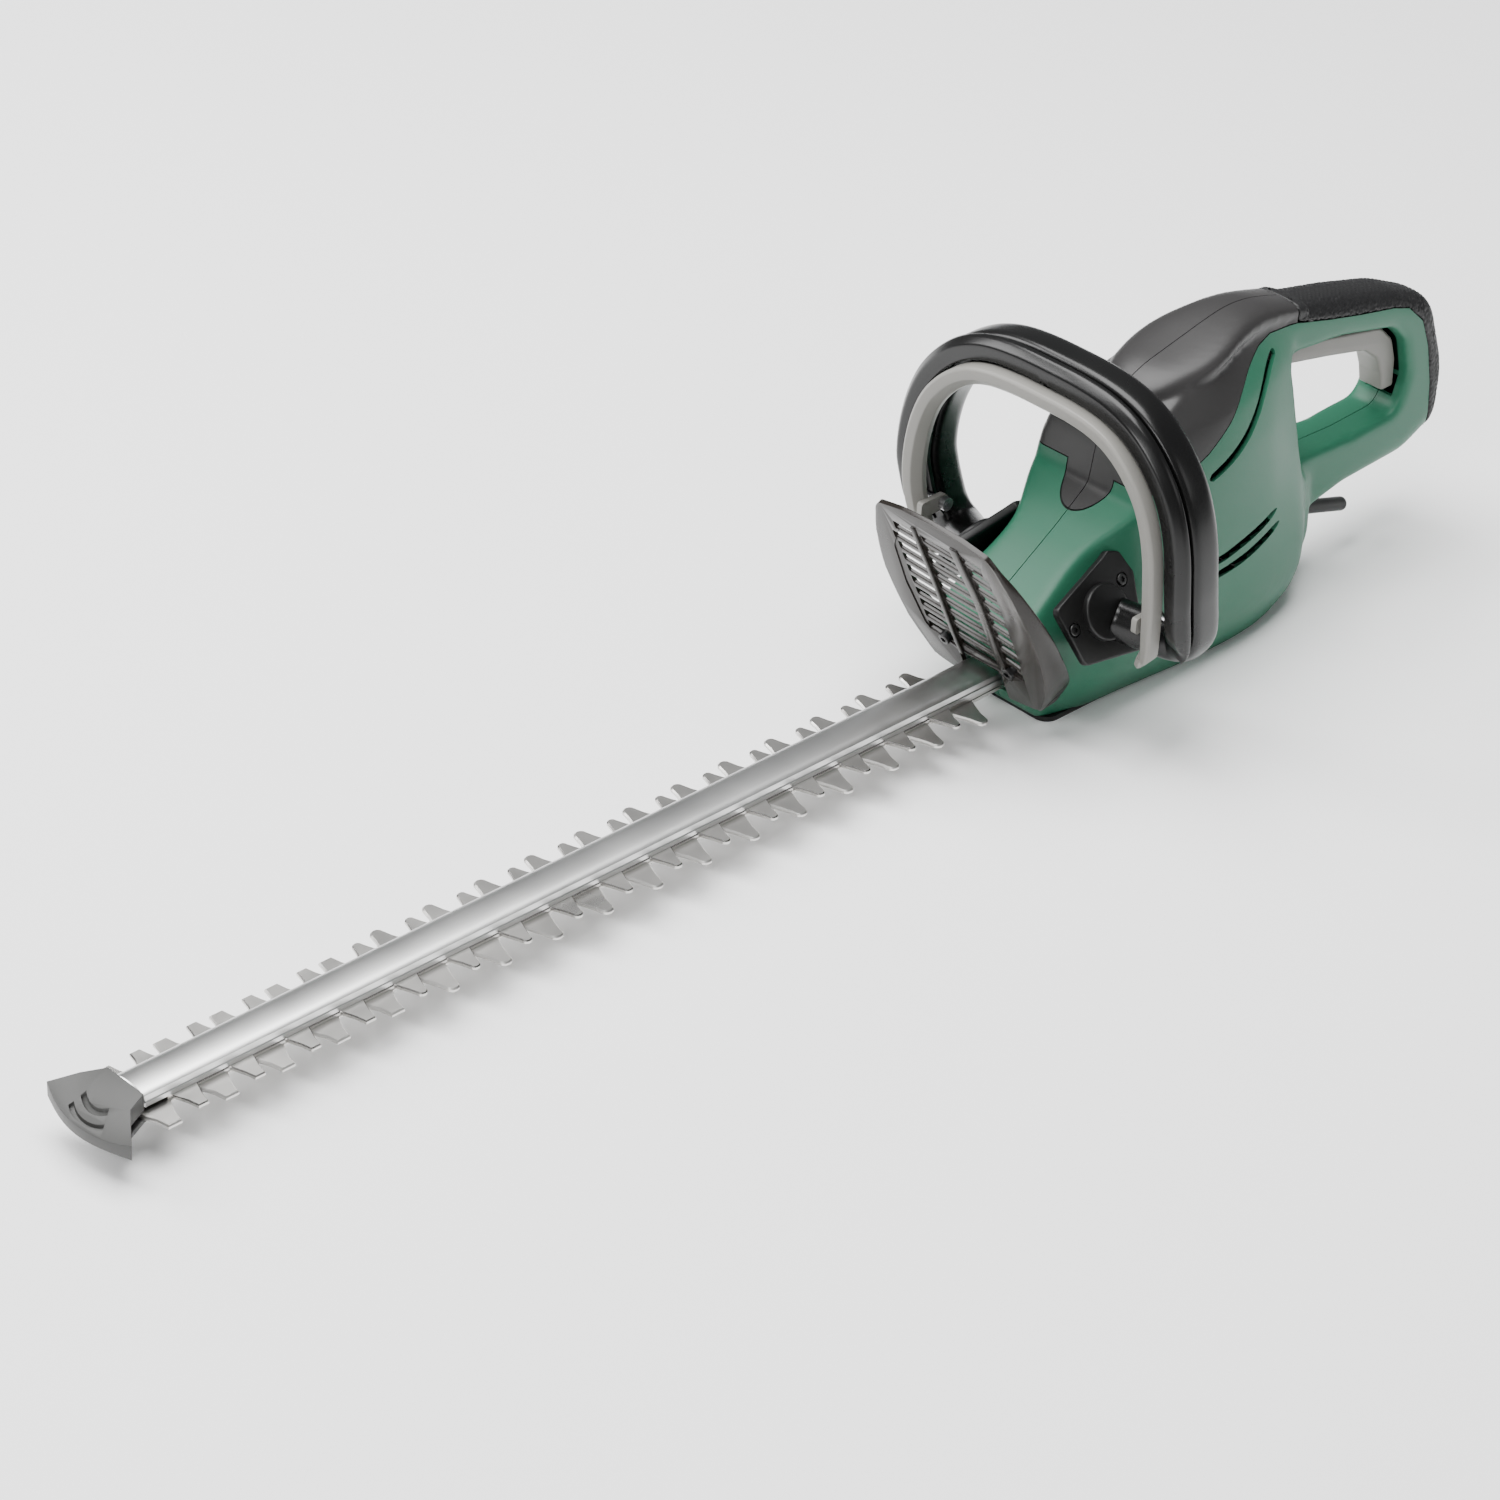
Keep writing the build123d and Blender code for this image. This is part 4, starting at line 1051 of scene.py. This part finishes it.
def build_guard():
    """Leaning hand guard with slots, curved ribs, a smooth rim and two swept flanges."""
    plate = plan_prism("hand_guard_plate", guard_outline(), -2.8, 0.0)
    field = rounded([(-38, 46, 5), (-14, 39, 3), (24, 39, 3), (40, 60, 12), (41.5, 88, 20), (38, 112, 14),
                     (30, 128, 8), (4, 136, 14), (-28, 134, 8), (-40, 112, 14), (-42, 80, 20)], 0, 5)
    boolean(plate, plan_prism("field", field, -0.8, 4.0))
    for row in range(GUARD_ROWS):
        y = 45.5 + 9.6 * row
        rib_shift = guard_rib_shift(y)
        slant = 1.6
        spans = ((-36, -16 + 0.3 * rib_shift), (-12.4 + 0.3 * rib_shift, 16 + rib_shift), (23 + rib_shift, 36))
        for x0, x1 in spans:
            corners = [(x0, y - 3.1 + slant, 1), (x1, y - 3.1, 1), (x1, y + 3.1, 1), (x0, y + 3.1 + slant, 1)]
            reach = min(1.0, (141 - y) / 18)
            corners = [(x * (0.8 + 0.2 * reach), level, size) for x, level, size in corners]
            boolean(plate, plan_prism("slot", rounded(corners, 1, 3), -6, 4))
    for start, width in ((-14.2, 3.2), (19.4, 5.6)):
        share = 0.3 if start < 0 else 1.0
        line = [(start + share * guard_rib_shift(y), y) for y in range(37, 142, 8)]
        outline = [(x - width / 2, y) for x, y in line] + [(x + width / 2, y) for x, y in reversed(line)]
        rib = plan_prism("rib", outline, -2.6, 1.2)
        bevel(rib, 0.7, 3, 60)
        boolean(plate, rib, "UNION")
    for x in (-24, 24):
        boolean(plate, rod("hole", (x, 43, -6), (x, 43, 4), 2.1, 24))
    for side in (-1, 1):
        boolean(plate, guard_flange(side), "UNION", solver="EXACT")
    bevel(plate, 0.45, 2, 50)
    plate.name = "hand_guard_shield"
    plate.data.transform(guard_matrix())
    finish(plate, "root", guard_brown(), ("hand_guard",), 40)
    screws = []
    for side in (-24, 24):
        head = screw_head("guard_screw_heads", 3.6, 2.0)
        head.data.transform(guard_matrix() @ Matrix.Translation(Vector((side, 43, 0)) * MM))
        screws.append(head)
    heads = join("guard_screw_heads", screws)
    finish(heads, "root", black_steel(), ("guard_screws",))


def guard_rib_shift(y):
    """Sideways bow of the guard's ribs at a height."""
    return 5.5 * ease(60, 20, y) - 5.0 * ease(95, 140, y)


GUARD_ROWS = 10


def screw_head(name, radius, height):
    """Round screw head with a six-lobed recess, standing on Z = 0."""
    head = rod(name, (0, 0, -5), (0, 0, height), radius, 36)
    bevel(head, 0.5, 3, 50)
    star = []
    for step in range(36):
        angle = 2 * math.pi * step / 36
        reach = radius * (0.5 + 0.09 * math.cos(6 * angle))
        star.append((reach * math.cos(angle), reach * math.sin(angle)))
    boolean(head, plan_prism("recess", star, height - 1.2, height + 2))
    return head


# ---- side plates ----


def plate_matrix():
    """Turns a side plate from its own frame to its slanted place on the left side."""
    centre = Vector((-96.0, -48.0, 69.0)) * MM
    return Matrix.Translation(centre) @ Matrix.Rotation(math.radians(-28), 4, "X")


def build_side_plates():
    """Slanted plate, collar and screws that carry each arm of the front handle."""
    outline = rounded([(-21, -21, 4), (24, -27, 4), (33, 26, 4), (17, 32, 3), (12, 29.5, 1), (-31, 14, 4)], 3, 4)
    plate = side_prism("plate", outline, -2.5, 2.5)
    bevel(plate, 1.0, 3, 50)
    collar = rod("collar", (2, -6.5, 2), (2, 2, 2), 15.8, 48)
    bevel(collar, 1.4, 3, 50)
    boolean(plate, collar, "UNION")
    heads = []
    for x, z in ((-22, 0), (20, -20), (21, 14)):
        sink = rod("sink", (x, -4, z), (x, -1.4, z), 4.2, 32)
        boolean(plate, sink)
        head = screw_head("plate_screw_head", 3.2, 1.4)
        turn = Matrix.Rotation(math.radians(90), 4, "X")
        head.data.transform(Matrix.Translation(Vector((x, -1.6, z)) * MM) @ turn)
        heads.append(head)
    plate.data.transform(plate_matrix())
    screws = join("plate_screw_heads_near", heads)
    screws.data.transform(plate_matrix())
    screws = join("plate_screw_heads", [screws, mirrored(screws, "plate_screw_heads_far")])
    far = mirrored(plate, "side_plate_far")
    plate.name = "side_plate_near"
    finish(plate, "root", black_plastic(), ("handle_plate_left",))
    finish(far, "root", black_plastic(), ("handle_plate_right",))
    finish(screws, "root", black_steel(), ("plate_screws",))


# ---- blades ----


def tooth_line(x, root, root_half, tip, tip_half, chisel):
    """Half outline of one tooth from its front flank to its rear flank, on the +Y side."""
    shoulder = 0.55 * (tip - root) + root
    if chisel:
        return [(x - root_half, root), (x - tip_half - 1.5, shoulder), (x - tip_half, tip), (x + tip_half, tip),
                (x + tip_half + 1.5, shoulder), (x + root_half, root)]
    line = [(x - root_half, root), (x - tip_half - 1.2, shoulder)]
    for step in range(7):
        angle = math.pi * (1 - step / 6)
        line.append((x + tip_half * math.cos(angle), tip - tip_half + tip_half * math.sin(angle)))
    return line + [(x + tip_half + 1.2, shoulder), (x + root_half, root)]


def blade_outline(first, count, front, rear, reach, short_reach, tip_half, root_half):
    """Plan outline of a whole toothed blade, with round gullets between its teeth."""
    side = [(front, 10.5)]
    for number in range(count):
        chisel = first + number * TOOTH_PITCH < FIRST_TOOTH_X + 4.5 * TOOTH_PITCH
        tip = short_reach if chisel else reach
        side += tooth_line(first + number * TOOTH_PITCH, 12.6, root_half, tip, tip_half, chisel)
    side.append((rear, 10.5))
    return side + [(x, -y) for x, y in reversed(side)]


def grind_edges(piece, top, width):
    """Bevels the tooth flanks of a blade's upper face."""
    activate(piece)
    bpy.ops.object.mode_set(mode="EDIT")
    bpy.ops.mesh.select_all(action="DESELECT")
    bpy.ops.object.mode_set(mode="OBJECT")
    for edge in piece.data.edges:
        ends = [piece.data.vertices[index].co / MM for index in edge.vertices]
        middle = (ends[0] + ends[1]) / 2
        edge.select = min(end.z for end in ends) > top - 0.05 and abs(middle.y) > 12
    bpy.ops.object.mode_set(mode="EDIT")
    bpy.ops.mesh.select_mode(type="EDGE")
    bpy.ops.mesh.bevel(offset=width * MM, offset_type="WIDTH", segments=1, clamp_overlap=True)
    bpy.ops.object.mode_set(mode="OBJECT")


def build_blades():
    """Comb with long teeth, cutter with ground teeth, and the bar that covers them."""
    comb_line = blade_outline(FIRST_TOOTH_X, 17, COMB_LOW[0], COMB_HIGH[0], 32.5, 28.5, 4.0, 9.5)
    comb = plan_prism("comb_plate", comb_line, COMB_LOW[2], COMB_HIGH[2])
    grind_edges(comb, COMB_HIGH[2], 1.1)
    cutter_line = blade_outline(CUTTER_TOOTH_X, 16, CUTTER_LOW[0], CUTTER_HIGH[0], 27.5, 27.0, 3.0, 7.5)
    cutter = plan_prism("cutter_plate", cutter_line, CUTTER_LOW[2], CUTTER_HIGH[2])
    grind_edges(cutter, CUTTER_HIGH[2], 2.2)
    travel = 8.5
    for step in range(5):
        x = FIRST_TOOTH_X + TOOTH_PITCH * (0.5 + 4 * step)
        boolean(comb, rod("bolt_hole", (x, 0, COMB_LOW[2] - 2), (x, 0, COMB_HIGH[2] + 2), 2.55, 24))
        line = []
        for corner in range(24):
            angle = 2 * math.pi * corner / 24
            shift = travel + 0.2 if math.cos(angle) > 0 else -travel - 0.2
            line.append((x - travel + shift + 3 * math.cos(angle), 3 * math.sin(angle)))
        boolean(cutter, plan_prism("bolt_slot", line, CUTTER_LOW[2] - 2, CUTTER_HIGH[2] + 2))
    finish(comb, "root", blade_steel(), ("comb_blade",), 25)
    finish(cutter, "cutter", None, ("cutter_blade",), 25)
    cutter.data.materials.clear()
    cutter.data.materials.append(blade_steel())
    cutter.data.materials.append(ground_steel())
    for face in cutter.data.polygons:
        face.material_index = 1 if 0.2 < face.normal.z < 0.95 else 0
    build_bar()


def build_bar():
    """Support bar: flat foot, rounded shoulders and a crowned top."""
    low, high = BAR_LOW, BAR_HIGH
    half = BAR_HALF
    top = high[2]
    section = [(-half, low[2]), (half, low[2]), (half, low[2] + 2.4)]
    for step in range(11):
        angle = math.pi * step / 10
        rise = math.sin(angle) ** 0.55
        section.append(((half - 0.6) * math.cos(angle), low[2] + 2.9 + (top - low[2] - 2.9) * rise))
    section.append((-half, low[2] + 2.4))
    stations = ((low[0], 0.9), (low[0] + 1.2, 1.0), (-520, 1), (-330, 1), (high[0], 1))
    rings = []
    for x, size in stations:
        rings.append([(x, y * size, low[2] + (z - low[2]) * size) for y, z in section])
    bar = skin("cover_bar", rings)
    finish(bar, "root", bar_aluminium(), ("blade_bar",), 30)


def build_tip_guard():
    """Fan-shaped bumper with two curved recesses."""
    front = []
    for step in range(13):
        share = step / 12
        y = -33 + 66 * share
        front.append((-737 - 8 * math.sin(math.pi * share), y))
    outline = ([(BAR_LOW[0] + 12, -10), (BAR_LOW[0] - 1.5, -14), (-727, -19.5)] + front
               + [(-727, 19.5), (BAR_LOW[0] - 1.5, 14), (BAR_LOW[0] + 12, 10)])
    fan = plan_prism("tip_bumper", outline, TIP_LOW[2], TIP_HIGH[2])
    boolean(fan, block("bar_seat", (BAR_LOW[0] - 1, -16, BAR_LOW[2] - 0.1), (-690, 16, 60)))
    boolean(fan, block("blade_seat", (-730, -40, COMB_LOW[2] - 0.15), (-690, 40, CUTTER_HIGH[2] + 0.15)))
    for radius in (26.5, 20.5):
        arc = []
        for reach in (radius, radius - 2.6):
            steps = [math.radians(180 - 30 + 60 * step / 10) for step in range(11)]
            if reach < radius:
                steps.reverse()
            arc += [(-716 + reach * math.cos(angle), reach * math.sin(angle)) for angle in steps]
        boolean(fan, plan_prism("recess", arc, TIP_HIGH[2] - 2.2, TIP_HIGH[2] + 5))
    for vertex in fan.data.vertices:
        point = vertex.co / MM
        if point.z > TIP_HIGH[2] - 3:
            slope = (TIP_HIGH[2] - TIP_LOW[2] - 6.0) * ease(-726, -742, point.x)
            vertex.co.z -= slope * MM
    bevel(fan, 0.8, 3, 50)
    finish(fan, "root", tip_grey(), ("tip_guard",))


# ---- nodes kept from the frame ----


def dress_nodes():
    for maker, names in NODE_FINISHES.items():
        for name in names:
            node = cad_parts[name]
            for place in node.material_slots:
                place.material = maker()


# ---- stage ----


def build_stage():
    """Pale floor, soft studio lights and the camera."""
    clear_selection()
    bpy.ops.mesh.primitive_plane_add(size=12, location=(0, 0, 0))
    floor = bpy.context.object
    floor.name = "studio_floor"
    material = bpy.data.materials.new("pale_floor")
    material.use_nodes = True
    shader = material.node_tree.nodes["Principled BSDF"]
    shader.inputs["Base Color"].default_value = (0.96, 0.96, 0.96, 1)
    shader.inputs["Roughness"].default_value = 0.7
    floor.data.materials.append(material)
    world = bpy.data.worlds.new("studio_air")
    bpy.context.scene.world = world
    world.use_nodes = True
    world.node_tree.nodes["Background"].inputs["Color"].default_value = (0.96, 0.98, 1.0, 1)
    world.node_tree.nodes["Background"].inputs["Strength"].default_value = 0.24
    add_light("overhead_panel", (-0.3, 0.5, 2.6), 190.0, 2.4)
    add_light("back_panel", (-1.3, 1.9, 1.5), 42.0, 1.1)
    add_light("front_panel", (-2.3, -0.6, 1.4), 24.0, 0.8)
    add_light("side_panel", (0.9, -2.2, 1.3), 5.0, 1.0)
    add_camera()


def add_light(name, place, power, size):
    lamp = bpy.data.lights.new(name, "AREA")
    lamp.energy = power
    lamp.size = size
    light = bpy.data.objects.new(name, lamp)
    bpy.context.collection.objects.link(light)
    light.location = place
    aim = Vector((-0.15, 0, 0.08)) - Vector(place)
    light.rotation_euler = aim.to_track_quat("-Z", "Y").to_euler()


def add_camera():
    lens = bpy.data.cameras.new("studio_camera")
    lens.lens = 109.9
    lens.sensor_width = 36.0
    lens.dof.use_dof = False
    camera = bpy.data.objects.new("studio_camera", lens)
    bpy.context.collection.objects.link(camera)
    camera.location = (-1.7242, -1.4198, 1.3460)
    camera.rotation_euler = (math.radians(57.07), math.radians(-2.083), math.radians(-43.535))
    bpy.context.scene.camera = camera


# ---- add-on classes ----


class TrimmerSizes(bpy.types.PropertyGroup):
    wall: FloatProperty(name="Wall", description="Wall thickness of the housing shells", default=0.0026,
                        subtype="DISTANCE", unit="LENGTH")
    seam_gap: FloatProperty(name="Seam gap", description="Gap between the two halves of the housing",
                            default=0.0005, subtype="DISTANCE", unit="LENGTH")
    form_voxel: FloatProperty(name="Form detail", description="Cell size that melts the body's forms together",
                              default=0.0018, subtype="DISTANCE", unit="LENGTH")


class TrimmerFinish(bpy.types.PropertyGroup):
    housing_green: FloatVectorProperty(name="Housing green", description="Colour of the housing halves",
                                       subtype="COLOR", size=3, default=(0.018, 0.125, 0.07))
    hood_grey: FloatVectorProperty(name="Hood grey", description="Colour of the hood over the motor",
                                   subtype="COLOR", size=3, default=(0.026, 0.025, 0.025))
    plastic_black: FloatVectorProperty(name="Plastic black", description="Colour of the side plates",
                                       subtype="COLOR", size=3, default=(0.006, 0.006, 0.006))
    handle_black: FloatVectorProperty(name="Handle black", description="Colour of the front handle",
                                      subtype="COLOR", size=3, default=(0.0035, 0.0035, 0.0035))
    lever_grey: FloatVectorProperty(name="Lever grey", description="Colour of lever and trigger",
                                    subtype="COLOR", size=3, default=(0.20, 0.195, 0.18))
    tip_grey: FloatVectorProperty(name="Tip grey", description="Colour of the bumper at the blade's tip",
                                  subtype="COLOR", size=3, default=(0.055, 0.055, 0.053))
    guard_brown: FloatVectorProperty(name="Guard brown", description="Colour of the hand guard",
                                     subtype="COLOR", size=3, default=(0.011, 0.0085, 0.0065))
    grip_black: FloatVectorProperty(name="Grip black", description="Colour of the soft grip",
                                    subtype="COLOR", size=3, default=(0.010, 0.010, 0.0105))


class TRIMMER_OT_housing(bpy.types.Operator):
    """Build the housing halves, the hood halves and the soft grip"""
    bl_idname = "trimmer.housing"
    bl_label = "Housing"

    def execute(self, context):
        build_housing()
        return {"FINISHED"}


class TRIMMER_OT_controls(bpy.types.Operator):
    """Build the rear trigger and the cord's sleeve"""
    bl_idname = "trimmer.controls"
    bl_label = "Trigger and Sleeve"

    def execute(self, context):
        build_trigger()
        build_sleeve()
        return {"FINISHED"}


class TRIMMER_OT_front_handle(bpy.types.Operator):
    """Build the arched front handle and its switch lever"""
    bl_idname = "trimmer.front_handle"
    bl_label = "Front Handle"

    def execute(self, context):
        build_front_handle()
        return {"FINISHED"}


class TRIMMER_OT_side_plates(bpy.types.Operator):
    """Build the plates that carry the front handle, with their screws"""
    bl_idname = "trimmer.side_plates"
    bl_label = "Side Plates"

    def execute(self, context):
        build_side_plates()
        return {"FINISHED"}


class TRIMMER_OT_guard(bpy.types.Operator):
    """Build the slotted hand guard and its screws"""
    bl_idname = "trimmer.guard"
    bl_label = "Hand Guard"

    def execute(self, context):
        build_guard()
        return {"FINISHED"}


class TRIMMER_OT_blades(bpy.types.Operator):
    """Build the comb, the cutter, the bar and the tip bumper"""
    bl_idname = "trimmer.blades"
    bl_label = "Blades"

    def execute(self, context):
        build_blades()
        build_tip_guard()
        return {"FINISHED"}


class TRIMMER_OT_inner_parts(bpy.types.Operator):
    """Give the parts kept from the frame their finishes"""
    bl_idname = "trimmer.inner_parts"
    bl_label = "Inner Parts"

    def execute(self, context):
        dress_nodes()
        return {"FINISHED"}


class TRIMMER_OT_stage(bpy.types.Operator):
    """Add the floor, the lights and the camera"""
    bl_idname = "trimmer.stage"
    bl_label = "Stage"

    def execute(self, context):
        build_stage()
        return {"FINISHED"}


OPERATORS = (TRIMMER_OT_stage, TRIMMER_OT_housing, TRIMMER_OT_controls, TRIMMER_OT_front_handle,
             TRIMMER_OT_side_plates, TRIMMER_OT_guard, TRIMMER_OT_blades, TRIMMER_OT_inner_parts)


class TRIMMER_PT_panel(bpy.types.Panel):
    """Sidebar panel with the trimmer's operators and settings"""
    bl_label = "Hedge Trimmer"
    bl_space_type = "VIEW_3D"
    bl_region_type = "UI"
    bl_category = "Trimmer"

    def draw(self, context):
        for settings in (context.scene.trimmer_sizes, context.scene.trimmer_finish):
            for name in settings.bl_rna.properties.keys()[2:]:
                self.layout.prop(settings, name)
        for operator in OPERATORS:
            self.layout.operator(operator.bl_idname)


CLASSES = (TrimmerSizes, TrimmerFinish) + OPERATORS + (TRIMMER_PT_panel,)


def register():
    for cls in CLASSES:
        bpy.utils.register_class(cls)
    bpy.types.Scene.trimmer_sizes = PointerProperty(type=TrimmerSizes)
    bpy.types.Scene.trimmer_finish = PointerProperty(type=TrimmerFinish)


def unregister():
    del bpy.types.Scene.trimmer_finish
    del bpy.types.Scene.trimmer_sizes
    for cls in reversed(CLASSES):
        bpy.utils.unregister_class(cls)


def main():
    register()
    bpy.ops.trimmer.stage()
    bpy.ops.trimmer.housing()
    bpy.ops.trimmer.controls()
    bpy.ops.trimmer.front_handle()
    bpy.ops.trimmer.side_plates()
    bpy.ops.trimmer.guard()
    bpy.ops.trimmer.blades()
    bpy.ops.trimmer.inner_parts()


if __name__ == "__main__":
    main()
